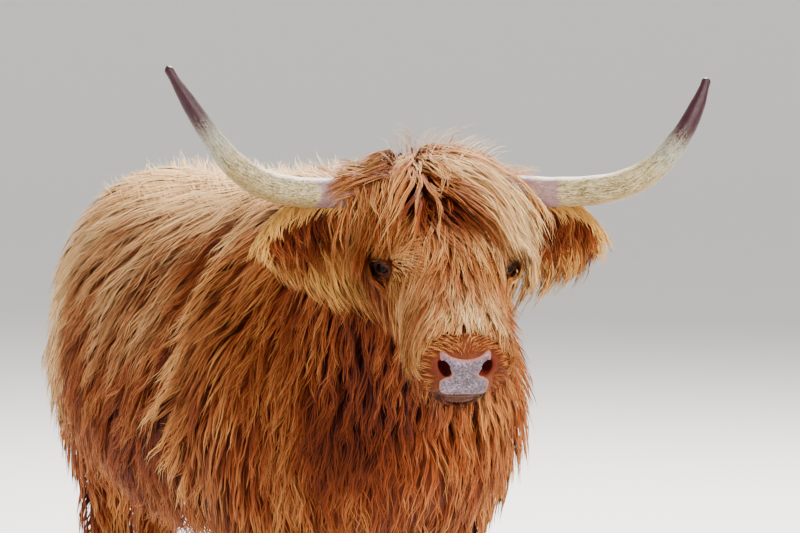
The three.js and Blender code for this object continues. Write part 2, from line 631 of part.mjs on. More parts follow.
// A lock as a solid, with a grown copy: a thin tapered blade with a flat back on the coat and a ridge on its
// outer face.
function lockSolids(path, wide) {
  const rings = LOCK.blade.map(([i, share, thick]) => {
    const { place, out } = path[i];
    const line = path[i + 1].place.clone().sub(path[Math.max(i - 1, 0)].place).normalize();
    const side = new THREE.Vector3().crossVectors(line, out).normalize();
    const ridge = new THREE.Vector3().crossVectors(side, line);
    return [
      place.clone().addScaledVector(side, -wide * share / 2),
      place.clone().addScaledVector(side, wide * share / 2),
      place.clone().addScaledVector(ridge, wide * thick),
    ];
  });
  const points = [...rings.flat(), path.at(-1).place];
  const triangles = [[0, 1, 2]];
  for (let ring = 0; ring < rings.length; ring++) {
    for (const [a, b] of [[0, 1], [1, 2], [2, 0]]) {
      const [p, q] = [3 * ring + a, 3 * ring + b];
      if (ring + 1 === rings.length) triangles.push([q, p, points.length - 1]);
      else triangles.push([q, p, q + 3], [p, p + 3, q + 3]);
    }
  }
  const grown = pushedOut(points, triangles, LOCK.grow * GAP, LOCK.firm);
  return { solid: solidOf(points, triangles), grown: solidOf(grown, triangles) };
}

// Which locks grow on each form, and how they lie there.
function lockFamilies() {
  const backwards = (place) => {
    const share = THREE.MathUtils.clamp((place.y - LIE.from) / LIE.full, 0, 1);
    return new THREE.Vector3(0, LIE.back * share, -1);
  };
  const down = () => new THREE.Vector3(0, LIE.legs, -1);
  const leftOnHead = (place) => place.clone().sub(new THREE.Vector3(...CROWN)).dot(headLeft);
  const overForehead = (place) => alongFace.clone().addScaledVector(Z, -LIE.foreheadDown)
    .addScaledVector(headLeft, leftOnHead(place) / LIE.foreheadPart);
  const downBridge = (place) => alongFace.clone()
    .addScaledVector(headLeft, leftOnHead(place) / LIE.bridgePart);
  const downCheek = () => Z.clone().negate().addScaledVector(alongFace, -LIE.cheekBack);
  const mirrored = (angles, side) => (side > 0 ? angles : angles.map((angle) => 180 - angle).reverse());

  const families = [
    { node: "head", form: skull, lie: overForehead, ...LOCKS.forelock },
    { node: "head", form: skull, lie: downBridge, ...LOCKS.bridge },
    ...SIDES.map(([, side]) => (
      { node: "head", form: skull, lie: downCheek, ...LOCKS.cheek, angles: mirrored(LOCKS.cheek.angles, side) }
    )),
    { node: "head", form: chin, lie: down, hang: true, ...LOCKS.beard },
    { node: "neck", form: neck, lie: backwards, ...LOCKS.neck },
    { node: "torso", form: trunk, lie: backwards, ...LOCKS.body },
    { node: "torso", form: trunk, lie: down, ...LOCKS.rump },
    { node: "torso", form: trunk, lie: backwards, ...LOCKS.chest },
    { node: "tail", form: tail, lie: down, hang: true, ...LOCKS.tail },
  ];
  for (const [name, side] of SIDES) {
    const [outward, fall, later] = LIE.ear;
    const fringe = (place, part) => Z.clone().multiplyScalar(-fall - later * part)
      .addScaledVector(headLeft, outward * side);
    families.push({ node: `ear_${name}`, form: ears[name], lie: fringe, hang: true, ...LOCKS.ear });
  }
  for (const { name, side, cut, rows } of LEGS) {
    const form = legForms[name];
    const { above, angles } = LOCKS.thigh;
    const { from, below } = LOCKS.shin;
    const atHeight = (z) => {
      const next = rows.findIndex(([height]) => height > z);
      return next - 1 + (z - rows[next - 1][0]) / (rows[next][0] - rows[next - 1][0]);
    };
    families.push({
      node: `${name}_upper_leg`, form, lie: down, ...LOCKS.thigh,
      rows: [atHeight(cut + above), rows.length - 2], angles: mirrored(angles, side),
    });
    families.push({
      node: `${name}_lower_leg`, form, lie: down, ...LOCKS.shin, rows: [atHeight(from), atHeight(cut - below)],
    });
  }
  return families;
}

// Roots spread evenly over a form, every other row set half a space over.
function rootsOn({ form, apart, rows, angles }) {
  const ends = angles.map(THREE.MathUtils.degToRad);
  return form.rowsAlong(apart[0], ...rows).flatMap((t, i) => (
    form.anglesRound(t, apart[1], ...ends, (i % 2) / 2 + 0.2 * random()).map((angle) => ({ t, angle }))
  ));
}

// ---------------------------------------------------------------- nodes

// A claim is a solid for a node and a copy grown by the gap. Earlier claims keep their place, and later ones
// of other nodes are cut back from the grown copy.
const claims = [];
function claim(node, solid, grown, material) {
  claims.push({ node, solid, grown, material });
}
function claimForm(node, form, material, within = null) {
  const [solid, grown] = [form.solid(CORE), form.solid(CORE, GAP)];
  claim(node, within ? solid.intersect(within) : solid, within ? grown.intersect(within) : grown, material);
}

const finish = (color, roughness) => new THREE.MeshStandardMaterial({ color, roughness, metalness: 0 });
const MATERIALS = {
  coat: finish(0xa9602c, 0.85),
  horn: finish(0xcfc6ae, 0.45),
  hoof: finish(0x2e2620, 0.55),
  eye: finish(0x140c08, 0.08),
  nose: finish(0xb39a98, 0.5),
  skin: finish(0xc99a84, 0.7),
};

const SIDES = [["left", 1], ["right", -1]];
const eyes = Object.fromEntries(SIDES.map(([name, side]) => [name, eyeParts(side)]));
for (const [name] of SIDES) claim(`eye_${name}`, eyes[name].ball, eyes[name].socket, MATERIALS.eye);

const nostrils = nostril(1).add(nostril(-1));
const groove = mouthGroove();
const padOf = (grow) => nosePrism(1 + grow / NOSE_HALF, NOSE_BACK - grow)
  .intersect(skull.solid(CORE, NOSE_PROUD + grow));
claim("nose_pad", padOf(0).subtract(nostrils).subtract(groove), padOf(GAP), MATERIALS.nose);

claimForm("torso", trunk, MATERIALS.coat);

let head = skull.solid(CORE).add(chin.solid(CORE));
let headGrown = skull.solid(CORE, GAP).add(chin.solid(CORE, GAP));
for (const [name] of SIDES) {
  head = head.add(eyes[name].lids).subtract(eyes[name].slit);
  headGrown = headGrown.add(eyes[name].lids);
}
claim("head", head.subtract(nostrils).subtract(groove), headGrown, MATERIALS.coat);

const horns = Object.fromEntries(SIDES.map(([name]) => [name, hornForm(name)]));
const ears = Object.fromEntries(SIDES.map(([name, side]) => [name, earForm(side, EAR_ROWS, 10, 8)]));
for (const [name] of SIDES) claimForm(`horn_${name}`, horns[name], MATERIALS.horn);
for (const [name, side] of SIDES) {
  const cup = earForm(side, EAR_CUP_ROWS, 8, 6);
  const [solid, grown] = [ears[name].solid(CORE), ears[name].solid(CORE, GAP)];
  claim(`ear_${name}`, solid.subtract(cup.solid(0)), grown, MATERIALS.coat);
}
claimForm("neck", neck, MATERIALS.coat);

const room = (low, high) => solidOfGeometry(
  new THREE.BoxGeometry(4000, 4000, high - low), new THREE.Matrix4().makeTranslation(0, 0, (low + high) / 2),
);
const legForms = {};
for (const leg of LEGS) {
  const form = legForm(leg);
  legForms[leg.name] = form;
  claimForm(`${leg.name}_upper_leg`, form, MATERIALS.coat, room(leg.cut + GAP / 2, 1500));
  claimForm(`${leg.name}_lower_leg`, form, MATERIALS.coat, room(HOOF_TOP + GAP, leg.cut - GAP / 2));
  const [x, y] = mixRows(form.rows, 0);
  const frame = { side: X, upper: Y.clone().negate(), line: Z };
  const claws = [-1, 1].map((way) => new Form(
    CLAW_ROWS.map(([z, ...sizes]) => [x + way * CLAW_SPREAD, y, z, ...sizes, 0]),
    { sides: 12, rings: 2, frame, roundEnds: false },
  ));
  const hoofOf = (grow) => claws[0].solid(0, grow).add(claws[1].solid(0, grow));
  claim(`${leg.name}_hoof`, hoofOf(0), hoofOf(GAP), MATERIALS.hoof);
  for (const [name, way] of [["outer", leg.side], ["inner", -leg.side]]) {
    const fetlock = mixRows(form.rows, 2);
    const { radius, length, height, apart, back } = DEWCLAW;
    const rows = [0, 0.35, 0.75, 1].map((part) => [
      fetlock[0] + way * apart, fetlock[1] + back + (part - 0.6) * 10, height - length * (part - 0.5),
      ...Array(3).fill(radius * (1 - 0.75 * part * part)), 2, 0,
    ]);
    const dewclaw = new Form(rows.reverse(), { sides: 6, rings: 3, frame, roundEnds: false });
    claimForm(`${leg.name}_dewclaw_${name}`, dewclaw, MATERIALS.hoof);
  }
}
claimForm("tail", tail, MATERIALS.coat);

function udderSolid(grow) {
  const { y, z, wide, long, deep, teatLength, teatRadius } = UDDER;
  let bag = ellipsoid(new THREE.Vector3(0, y, z), [X, Y, Z], [wide + grow, long + grow, deep + grow], 12, 7);
  for (const [left, back] of [[-1, -1], [-1, 1], [1, -1], [1, 1]]) {
    const teat = new THREE.Vector3(left * wide * 0.45, y + back * long * 0.4, z - deep * 0.78);
    const radii = [teatRadius + grow, teatRadius + grow, teatLength + grow];
    bag = bag.add(ellipsoid(teat, [X, Y, Z], radii, 5, 4));
  }
  return bag;
}
claim("udder", udderSolid(0), udderSolid(GAP), MATERIALS.skin);

// The locks come last, so that each is cut clear of every other node's core.
const bodyForms = [trunk, neck, skull, chin, tail, ...[legForms, ears, horns].flatMap(Object.values)];
const random = seeded(LOCK.seed);
const vary = (middle, most) => middle + most * (2 * random() - 1);
const offEyes = (point, far) => SIDES.every(([name]) => point.distanceTo(eyes[name].centre) > far);
const offUdder = (point) => point.distanceTo(new THREE.Vector3(0, UDDER.y, UDDER.z)) > UDDER.clearRoot;

// A solid less all that the other nodes have claimed.
const lessOthers = (node, solid, others) => others.filter((other) => other.node !== node)
  .reduce((rest, other) => rest.subtract(other.grown), solid);

const cores = {};
claims.forEach(({ node, solid }, i) => {
  cores[node] ??= lessOthers(node, solid, claims.slice(0, i));
});

// A lock that isn't clear of the eyes and its neighbours is grown again, shorter, and at last left out.
function lockOn({ form, node, length, wide, sink, lie, hang = false, over = 0 }, { t, angle }) {
  const others = bodyForms.filter((other) => other !== form);
  const root = form.point(t, angle, CORE);
  if (bodyHeight(root, others) < LOCK.buried || !offEyes(root, EYE.clearRoot) || !offUdder(root)) return [];
  const rise = form.point(t, angle, 1).distanceTo(root) + over;
  const sway = LOCK.sway * Math.sin(root.y / LOCK.waves[0] + root.z / LOCK.waves[1]) + vary(0, LOCK.stray);
  const [longest, widest] = [length * (1 + vary(0, LOCK.longer)), wide * (1 + vary(0, LOCK.wider))];
  for (const share of LOCK.shorter) {
    const path = lockPath(bodyForms, { root, lie, hang, rise, sink, sway, length: share * longest });
    if (path.some(({ place }) => !offEyes(place, EYE.clearLock))) continue;
    const lock = lockSolids(path, widest);
    const rest = lessOthers(node, lock.solid, claims);
    const kept = rest.volume() > LOCK.kept * lock.solid.volume();
    const rooted = kept && cores[node].add(rest).decompose().length === 1;
    if (rooted && lock.solid.subtract(lock.grown).volume() < LOCK.outside) return [lock];
  }
  return [];
}

for (const family of lockFamilies()) {
  const locks = rootsOn(family).flatMap((place) => lockOn(family, place));
  const joined = (which) => locks.map((lock) => lock[which]).reduce((a, b) => a.add(b));
  const solid = joined("solid");
  claim(family.node, solid, joined("grown").add(solid), MATERIALS.coat);
}

// ---------------------------------------------------------------- assembly

const largestBody = (solid) => solid.decompose().reduce((a, b) => (b.volume() > a.volume() ? b : a));
function geometryOf(solid) {
  const { vertProperties, triVerts } = solid.getMesh();
  return new THREE.BufferGeometry()
    .setAttribute("position", new THREE.BufferAttribute(vertProperties, 3))
    .setIndex(new THREE.BufferAttribute(triVerts, 1));
}

// The largest closed body of a solid as a mesh, once its points are rounded and merged.
function meshOf(name, solid, material) {
  const merged = solidOfGeometry(geometryOf(largestBody(solid)), new THREE.Matrix4());
  const geometry = geometryOf(largestBody(merged));
  geometry.computeVertexNormals();
  const mesh = new THREE.Mesh(geometry, material);
  mesh.name = name;
  return mesh;
}

const cow = new THREE.Group();
for (const node of new Set(claims.map((c) => c.node))) {
  const parts = claims.flatMap((c, i) => (
    c.node === node ? [lessOthers(node, c.solid, claims.slice(0, i))] : []
  ));
  const { material } = claims.find((c) => c.node === node);
  cow.add(meshOf(node, parts.reduce((a, b) => a.add(b)), material));
}

// The origin is under the middle of the box that holds the cow.
const box = new THREE.Box3().setFromObject(cow);
const middle = box.getCenter(new THREE.Vector3());
cow.position.set(-middle.x, -middle.y, -box.min.z);

export default cow;
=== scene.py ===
"""A highland cow, life size, standing still: skin, coat, horns, eyes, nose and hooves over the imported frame.

Sizes in the tables are millimetres in the cow's own measures: +Z up, facing -Y, +X its left. `ORIGIN` moves
them to the frame. Every form of flesh is a loft: rows of sizes along a line, each a rounded section that is
`wide` to both sides, `rise` on its upper or front half and `drop` on the other, with the depth of the coat.
"""

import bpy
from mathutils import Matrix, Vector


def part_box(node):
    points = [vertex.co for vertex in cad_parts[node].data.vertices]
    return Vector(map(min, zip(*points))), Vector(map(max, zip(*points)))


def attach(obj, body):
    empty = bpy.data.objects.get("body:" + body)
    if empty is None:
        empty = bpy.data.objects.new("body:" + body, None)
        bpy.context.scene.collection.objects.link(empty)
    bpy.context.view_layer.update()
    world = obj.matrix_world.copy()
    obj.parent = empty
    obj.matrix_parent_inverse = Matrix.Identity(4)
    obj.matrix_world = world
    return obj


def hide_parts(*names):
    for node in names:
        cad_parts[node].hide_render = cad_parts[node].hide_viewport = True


bl_info = {
    "name": "Highland Cow",
    "version": (1, 0, 0),
    "blender": (4, 5, 0),
    "location": "View3D > Sidebar > Cow",
    "description": "Builds a life-size highland cow with a coat of solid tufts",
    "category": "Add Mesh",
}

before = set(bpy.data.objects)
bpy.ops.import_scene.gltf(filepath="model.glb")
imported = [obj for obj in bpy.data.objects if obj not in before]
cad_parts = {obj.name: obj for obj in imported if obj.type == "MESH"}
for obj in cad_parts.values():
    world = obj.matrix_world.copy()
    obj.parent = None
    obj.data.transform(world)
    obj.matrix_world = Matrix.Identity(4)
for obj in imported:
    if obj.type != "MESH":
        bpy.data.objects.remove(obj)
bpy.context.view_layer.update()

import math

import bmesh
import bpy
import numpy as np
from mathutils import Matrix, Vector
from mathutils.bvhtree import BVHTree

# ---- sizes of the body

HEAD_TURN = math.radians(-13)
HEAD_PITCH = math.radians(37)
CROWN = np.array([-25.0, -600.0, 1205.0])
HOOF_TOP = 64
GAP = 0.3  # between a hoof and its leg

# y, height of the widest line, wide, rise, drop, squareness, coat
TRUNK_ROWS = [
    [-430, 750, 40, 60, 60, 2, 40],
    [-400, 755, 120, 150, 150, 2.1, 50],
    [-330, 770, 194, 255, 245, 2.2, 60],
    [-200, 780, 246, 340, 295, 2.3, 64],
    [-20, 772, 268, 376, 305, 2.3, 64],
    [180, 757, 304, 372, 302, 2.3, 60],
    [400, 752, 324, 368, 297, 2.3, 60],
    [600, 762, 318, 358, 277, 2.3, 58],
    [760, 795, 290, 326, 245, 2.4, 55],
    [900, 822, 254, 282, 205, 2.3, 52],
    [1000, 842, 204, 228, 160, 2.2, 50],
    [1060, 850, 135, 146, 112, 2.1, 48],
    [1082, 852, 50, 62, 50, 2, 45],
]
# x, y, z, wide, rise, drop, squareness, coat
NECK_ROWS = [
    [-24, -562, 1100, 78, 82, 98, 2, 40],
    [-22, -490, 1062, 112, 120, 150, 2.1, 52],
    [-16, -400, 1005, 142, 156, 212, 2.1, 60],
    [-8, -300, 955, 174, 196, 276, 2.2, 64],
    [-1, -190, 912, 206, 240, 306, 2.2, 64],
    [0, -80, 885, 220, 254, 300, 2.2, 60],
]
# along the face, left, out, wide, rise, drop, squareness, coat
SKULL_ROWS = [
    [472, 0, -80, 44, 36, 38, 2.4, 3],
    [458, 0, -79, 71, 49, 48, 2.5, 3],
    [430, 0, -77, 84, 56, 53, 2.5, 4],
    [385, 0, -75, 82, 58, 52, 2.4, 7],
    [330, 0, -75, 76, 60, 62, 2.3, 14],
    [270, 0, -78, 84, 67, 84, 2.3, 18],
    [215, 0, -80, 98, 77, 108, 2.4, 18],
    [165, 0, -80, 111, 85, 122, 2.4, 18],
    [100, 0, -80, 120, 88, 122, 2.4, 22],
    [40, 0, -78, 116, 84, 112, 2.4, 24],
    [-10, 0, -76, 100, 72, 98, 2.3, 24],
    [-50, 0, -74, 70, 52, 74, 2.2, 24],
    [-70, 0, -74, 30, 26, 32, 2, 24],
]
CHIN_ROWS = [
    [444, 0, -142, 26, 16, 15, 2.2, 4],
    [429, 0, -142, 44, 23, 24, 2.3, 6],
    [385, 0, -141, 52, 27, 30, 2.3, 9],
    [325, 0, -140, 50, 30, 36, 2.2, 14],
    [255, 0, -140, 42, 34, 46, 2.2, 18],
    [215, 0, -140, 20, 20, 24, 2, 18],
]
# along the ear, up, towards the opening, wide, rise, drop, squareness, coat
EAR_ROWS = [
    [-20, 0, 0, 24, 20, 18, 2, 6],
    [24, 0, 0, 38, 24, 19, 2, 9],
    [76, 0, 0, 57, 24, 18, 2, 12],
    [128, -3, 2, 58, 20, 15, 2, 12],
    [172, -8, 5, 42, 15, 12, 2, 12],
    [202, -13, 8, 20, 9, 8, 2, 10],
    [214, -15, 9, 5, 4, 3, 2, 8],
]
EAR_CUP_ROWS = [
    [18, 0, 26, 12, 10, 16, 2, 0],
    [42, 0, 28, 31, 12, 30, 2, 0],
    [78, 0, 28, 46, 12, 34, 2, 0],
    [130, -3, 26, 47, 12, 28, 2, 0],
    [168, -8, 22, 31, 10, 18, 2, 0],
    [192, -12, 20, 8, 6, 8, 2, 0],
]
EAR_ROOT = (44, 106, -68)  # along, left, out on the head

# left, forward, up from the horn's root, radius
HORN_ROOT = (22, 0, -22)
HORN_ROWS = {
    "right": [
        [62, 0, 0, 29], [150, 8, -2, 28.5], [240, 24, -1, 27.5], [312, 44, 13, 26.5],
        [368, 57, 46, 24], [414, 58, 100, 19], [455, 48, 163, 13], [494, 36, 229, 4],
    ],
    "left": [
        [62, 0, 0, 29], [150, 8, -3, 28.5], [248, 24, -4, 27.5], [330, 44, 7, 26.5],
        [394, 57, 40, 24], [442, 58, 95, 19], [475, 48, 151, 13], [497, 36, 203, 4],
    ],
}
# z, distance from the middle, y, wide, front, back, squareness, coat
FRONT_LEG_ROWS = [
    [HOOF_TOP + GAP, 148, -178, 38, 42, 38, 2.2, 6],
    [88, 148, -166, 32, 36, 35, 2.2, 9],
    [114, 147, -152, 36, 38, 42, 2.2, 12],
    [145, 146, -150, 30, 32, 37, 2.2, 13],
    [220, 146, -150, 27, 30, 32, 2.2, 14],
    [290, 146, -150, 34, 37, 36, 2.2, 17],
    [345, 147, -149, 43, 47, 45, 2.3, 22],
    [430, 158, -145, 50, 56, 61, 2.3, 36],
    [520, 174, -140, 68, 76, 88, 2.3, 46],
    [610, 190, -142, 90, 108, 110, 2.3, 52],
    [720, 200, -146, 98, 134, 126, 2.3, 54],
    [850, 192, -136, 84, 128, 126, 2.2, 54],
    [960, 150, -112, 60, 95, 105, 2.1, 45],
    [1020, 130, -100, 30, 45, 50, 2, 40],
]
HIND_LEG_ROWS = [
    [HOOF_TOP + GAP, 148, 884, 38, 42, 38, 2.2, 6],
    [88, 148, 898, 32, 36, 35, 2.2, 9],
    [114, 147, 914, 36, 38, 42, 2.2, 12],
    [145, 146, 920, 30, 32, 37, 2.2, 13],
    [220, 146, 934, 27, 30, 33, 2.2, 14],
    [300, 146, 950, 31, 35, 38, 2.2, 16],
    [360, 146, 962, 38, 43, 50, 2.3, 20],
    [410, 148, 955, 39, 48, 52, 2.3, 26],
    [470, 152, 928, 50, 66, 64, 2.3, 34],
    [550, 162, 884, 70, 104, 96, 2.3, 42],
    [640, 174, 846, 88, 142, 132, 2.3, 46],
    [750, 180, 828, 94, 158, 150, 2.3, 48],
    [870, 168, 824, 84, 150, 146, 2.2, 48],
    [980, 140, 826, 56, 100, 104, 2.1, 44],
    [1040, 120, 830, 26, 40, 44, 2, 40],
]
LEG_SWING = 640  # below this height a leg swings by its stride
LEGS = {  # side, rows, stride
    "front_right": (-1, FRONT_LEG_ROWS, -38),
    "front_left": (1, FRONT_LEG_ROWS, 34),
    "hind_right": (-1, HIND_LEG_ROWS, 52),
    "hind_left": (1, HIND_LEG_ROWS, -46),
}
CLAW_SPREAD = 25
CLAW_ROWS = [  # height, wide, front, back, squareness
    [0, 20.5, 58, 44, 2.5],
    [30, 23.5, 50, 43, 2.5],
    [HOOF_TOP, 27.5, 37, 37, 2.3],
]
DEWCLAW = {"height": 100, "length": 26, "radius": 12, "apart": 20, "back": 46}
TAIL_ROWS = [
    [12, 1140, 262, 6, 6, 6, 2, 10],
    [11, 1134, 310, 26, 24, 24, 2, 20],
    [9, 1126, 400, 38, 34, 34, 2, 26],
    [7, 1121, 500, 32, 30, 30, 2, 24],
    [5, 1118, 620, 20, 20, 20, 2, 18],
    [3, 1117, 780, 20, 20, 20, 2, 14],
    [1, 1110, 890, 23, 23, 23, 2, 14],
    [0, 1086, 972, 27, 26, 26, 2, 16],
    [0, 1036, 1016, 32, 28, 28, 2, 18],
    [0, 975, 1018, 34, 26, 26, 2, 18],
]
UDDER = {"y": 690, "z": 505, "wide": 92, "long": 118, "deep": 74, "teat_length": 34, "teat_radius": 9}
EYE = {
    "along": 196, "angle": 0.2, "depth": 16, "radius": 19,
    "lids": (27, 19, 22.2), "slit": (15, 6.2, 13), "slit_out": 20,
}
MOUTH = {
    "out": -117, "height": 8.5, "depth": 18, "corner": 348, "wide": 150, "past": 20, "blunt": 0.62,
    "beyond": 1.2, "droop": 5,
}
NOSE_OUTLINE = [  # left, out
    [0, -35], [22, -33], [41, -29], [46, -34], [41, -43], [25, -57], [26, -66], [40, -74], [44, -84],
    [37, -106], [0, -109],
]
NOSE_BACK = 430
NOSE_PROUD = 1.0
LIP = {"place": (416, 49, -97), "radii": (38, 25, 44)}  # the full sides of the upper lip
NOSTRIL = {"place": (457, 35, -55), "radii": (12, 18.5, 25), "lean": 0.45}
LID_RIM = {"wide": 16.5, "above": 7.8, "below": 6.8, "thick_above": 2.8, "thick_below": 2.3}
SKINS = {  # fineness in metres, rounds of smoothing
    "head": (0.0038, 2), "body": (0.0105, 4), "udder": (0.0045, 3), "nose": (0.0015, 4),
}

X, Y, Z = np.eye(3)
SIDES = {"left": 1, "right": -1}


def unit(vectors):
    """Vectors at length one."""
    return vectors / np.maximum(np.linalg.norm(vectors, axis=-1, keepdims=True), 1e-9)


def lengths(vectors):
    """How long vectors are."""
    return np.linalg.norm(vectors, axis=-1)


LEVEL_FORWARD = np.array([math.sin(HEAD_TURN), -math.cos(HEAD_TURN), 0])
HEAD_LEFT = np.array([math.cos(HEAD_TURN), math.sin(HEAD_TURN), 0])
ALONG_FACE = LEVEL_FORWARD * math.cos(HEAD_PITCH) - Z * math.sin(HEAD_PITCH)
OUT_OF_FACE = LEVEL_FORWARD * math.sin(HEAD_PITCH) + Z * math.cos(HEAD_PITCH)


def on_head(along, left, out):
    """A place on the head: along the face from the crown, to the cow's left, and out from the face."""
    return CROWN + along * ALONG_FACE + left * HEAD_LEFT + out * OUT_OF_FACE


def head_place(points):
    """Points in the head's own measures: along, left, out."""
    return (points - CROWN) @ np.stack([ALONG_FACE, HEAD_LEFT, OUT_OF_FACE], axis=1)


def mouth_line(left, height=3):
    """How far out a line round the muzzle runs, at a height over the lower edge of the mouth's slot."""
    return MOUTH["out"] + height - MOUTH["droop"] * (left / 70) ** 2


def on_side(place, side, back=0):
    """A place on the head that is given for its left, on this side, or further back from it."""
    along, left, out = place
    return on_head(along - back, left * side, out)


def from_nostrils(points, back=0):
    """How far points are from the nearer nostril's middle, or from a place further back in it."""
    return np.min([lengths(points - on_side(NOSTRIL["place"], side, back)) for side in (-1, 1)], axis=0)


def from_udder(points):
    """How far points are from the udder's middle, measured as if the udder were round."""
    return lengths((points - (0, UDDER["y"], UDDER["z"])) / (1, 1.15, 0.9))


# ---- lofts

def tube_faces(bands, around, closed=False):
    """The bands of faces between rings of points. A closed tube's last ring meets its first."""
    total = around * (bands if closed else bands + 1)
    return [
        tuple((ring * around + place % around) % total for ring, place in (
            (band, k), (band, k + 1), (band + 1, k + 1), (band + 1, k),
        ))
        for band in range(bands) for k in range(around)
    ]


def capped_faces(bands, around):
    """The faces of a tube that closes at both ends on a point each, which follow the rings' points."""
    faces = tube_faces(bands, around)
    last, pole = bands * around, (bands + 1) * around
    for k in range(around):
        after = (k + 1) % around
        faces += [(pole, after, k), (pole + 1, last + k, last + after)]
    return faces


def mix_rows(rows, t):
    """A smooth curve through rows of numbers; t runs from 0 to the last row's index."""
    rows = np.asarray(rows, float)
    t = np.atleast_1d(np.asarray(t, float))
    last = len(rows) - 1
    i = np.clip(np.floor(t).astype(int), 0, last - 1)
    f = (t - i)[:, None]
    p, a, b, n = (rows[np.clip(i + step, 0, last)] for step in (-1, 0, 1, 2))
    return 0.5 * (
        2 * a + (b - p) * f + (2 * p - 5 * a + 4 * b - n) * f**2 + (3 * a - p - 3 * b + n) * f**3
    )


class Form:
    """A loft. Its rows are x, y, z, wide, rise, drop, squareness, coat."""

    def __init__(self, rows, axes=None, upper=None, on_top=1.0, below=1.0, round_ends=True):
        self.rows = np.array(rows, float)
        self.last = len(rows) - 1
        self.axes = axes
        self.upper = upper
        self.on_top = on_top
        self.below = below
        self.round_ends = round_ends

    def directions(self, t):
        """Side, upper and line of the sections at t."""
        if self.axes is not None:
            return [np.broadcast_to(axis, (len(t), 3)) for axis in self.axes]
        step = 0.01
        behind = mix_rows(self.rows, np.maximum(t - step, 0))[:, :3]
        ahead = mix_rows(self.rows, np.minimum(t + step, self.last))[:, :3]
        line = unit(ahead - behind)
        side = unit(np.cross(line, self.upper))
        return side, np.cross(side, line), line

    def points(self, t, angle, share=0.0, grow=0.0):
        """Points of the surface at angles round the sections at t, at a share of the coat's depth."""
        t = np.atleast_1d(np.asarray(t, float))
        angle = np.broadcast_to(np.asarray(angle, float), t.shape)
        mixed = mix_rows(self.rows, t)
        side, upper, line = self.directions(t)
        wide, rise, drop, square, coat = mixed[:, 3:].T
        hair = share * coat
        past = (hair if self.round_ends else 0) + grow
        ends = np.where(t <= 0, -past, 0) + np.where(t >= self.last, past, 0)
        c, h = np.cos(angle), np.sin(angle)
        across = (wide + hair + grow) * np.sign(c) * np.abs(c) ** (2 / square)
        tall = np.where(h > 0, rise + hair * self.on_top, drop + hair * self.below) + grow
        high = tall * np.sign(h) * np.abs(h) ** (2 / square)
        return mixed[:, :3] + line * ends[:, None] + side * across[:, None] + upper * high[:, None]

    def loft(self, share=0.0, grow=0.0, sides=48, rings=60):
        """The closed surface as points and faces."""
        t = np.repeat(np.linspace(0, self.last, rings + 1), sides)
        angle = np.tile(2 * np.pi * (np.arange(sides) + 0.5) / sides, rings + 1)
        skin = self.points(t, angle, share, grow)
        ends = [skin[:sides].mean(axis=0), skin[-sides:].mean(axis=0)]
        return np.vstack([skin, ends]), capped_faces(rings, sides)


def leg_form(side, rows, stride):
    """A leg, swung by its stride below LEG_SWING."""
    placed = [
        [side * apart, y + stride * max(0, 1 - z / LEG_SWING), z, *sizes]
        for z, apart, y, *sizes in rows
    ]
    return Form(placed, axes=(X, -Y, Z), round_ends=False)


def ear_axes(side):
    """An ear's own directions: up, towards its opening, and along it."""
    line = unit(HEAD_LEFT * 0.96 * side - 0.14 * Z - 0.2 * LEVEL_FORWARD)
    opening = LEVEL_FORWARD - 0.25 * Z
    opening = unit(opening - line * (opening @ line))
    return unit(np.cross(opening, line)) * side, opening, line


def ear_form(side, rows):
    """An ear, or its cup, in the ear's own measures."""
    up, opening, line = ear_axes(side)
    root = on_side(EAR_ROOT, side)
    placed = [
        [*(root + line * a + up * high + opening * fore), *sizes] for a, high, fore, *sizes in rows
    ]
    return Form(placed, axes=(up, opening, line))


def head_form(rows):
    """A form in the head's own measures."""
    placed = [[*on_head(along, left, out), *sizes] for along, left, out, *sizes in rows]
    return Form(placed, axes=(HEAD_LEFT, OUT_OF_FACE, -ALONG_FACE))


def horn_path(name):
    """The middle line of a horn, with its radii."""
    root = on_head(*HORN_ROOT)
    return np.array([
        [*(root + HEAD_LEFT * left * SIDES[name] + LEVEL_FORWARD * forward + Z * up), radius]
        for left, forward, up, radius in HORN_ROWS[name]
    ])


TRUNK = Form([[0, *row] for row in TRUNK_ROWS], axes=(X, Z, Y), on_top=0.65, below=1.2)
NECK = Form(NECK_ROWS, upper=Z, on_top=0.8, below=1.2)
SKULL = head_form(SKULL_ROWS)
CHIN = head_form(CHIN_ROWS)
TAIL = Form(TAIL_ROWS, upper=Y, round_ends=False)
EARS = {name: ear_form(side, EAR_ROWS) for name, side in SIDES.items()}
CUPS = {name: ear_form(side, EAR_CUP_ROWS) for name, side in SIDES.items()}
LEG_FORMS = {name: leg_form(*leg) for name, leg in LEGS.items()}


def eye_setting(side):
    """An eye's middle and its directions: to its corners, up, and where it looks."""
    places = [row[0] for row in SKULL_ROWS]
    after = next(i for i, along in enumerate(places) if along <= EYE["along"])
    row = after - (EYE["along"] - places[after]) / (places[after - 1] - places[after])
    angle = EYE["angle"] if side > 0 else math.pi - EYE["angle"]
    gaze = unit(HEAD_LEFT * 0.8 * side + LEVEL_FORWARD * 0.56 + Z * 0.08)
    centre = SKULL.points(row, angle, 1)[0] - gaze * EYE["depth"]
    look = unit(HEAD_LEFT * 0.66 * side + LEVEL_FORWARD * 0.76 - Z * 0.02)
    corner = unit(np.cross(OUT_OF_FACE, look))
    return centre, (corner, unit(np.cross(look, corner)), look)


EYES = {name: eye_setting(side) for name, side in SIDES.items()}
ORIGIN = 500 * (np.array(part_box("eye_left")[0]) + np.array(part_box("eye_left")[1])) - EYES["left"][0]


def to_frame(points):
    """From the cow's own measures, in millimetres, to the frame's metres."""
    return (np.asarray(points) + ORIGIN) / 1000


def from_frame(points):
    """From the frame's metres to the cow's own measures."""
    return np.asarray(points) * 1000 - ORIGIN


# ---- mesh helpers

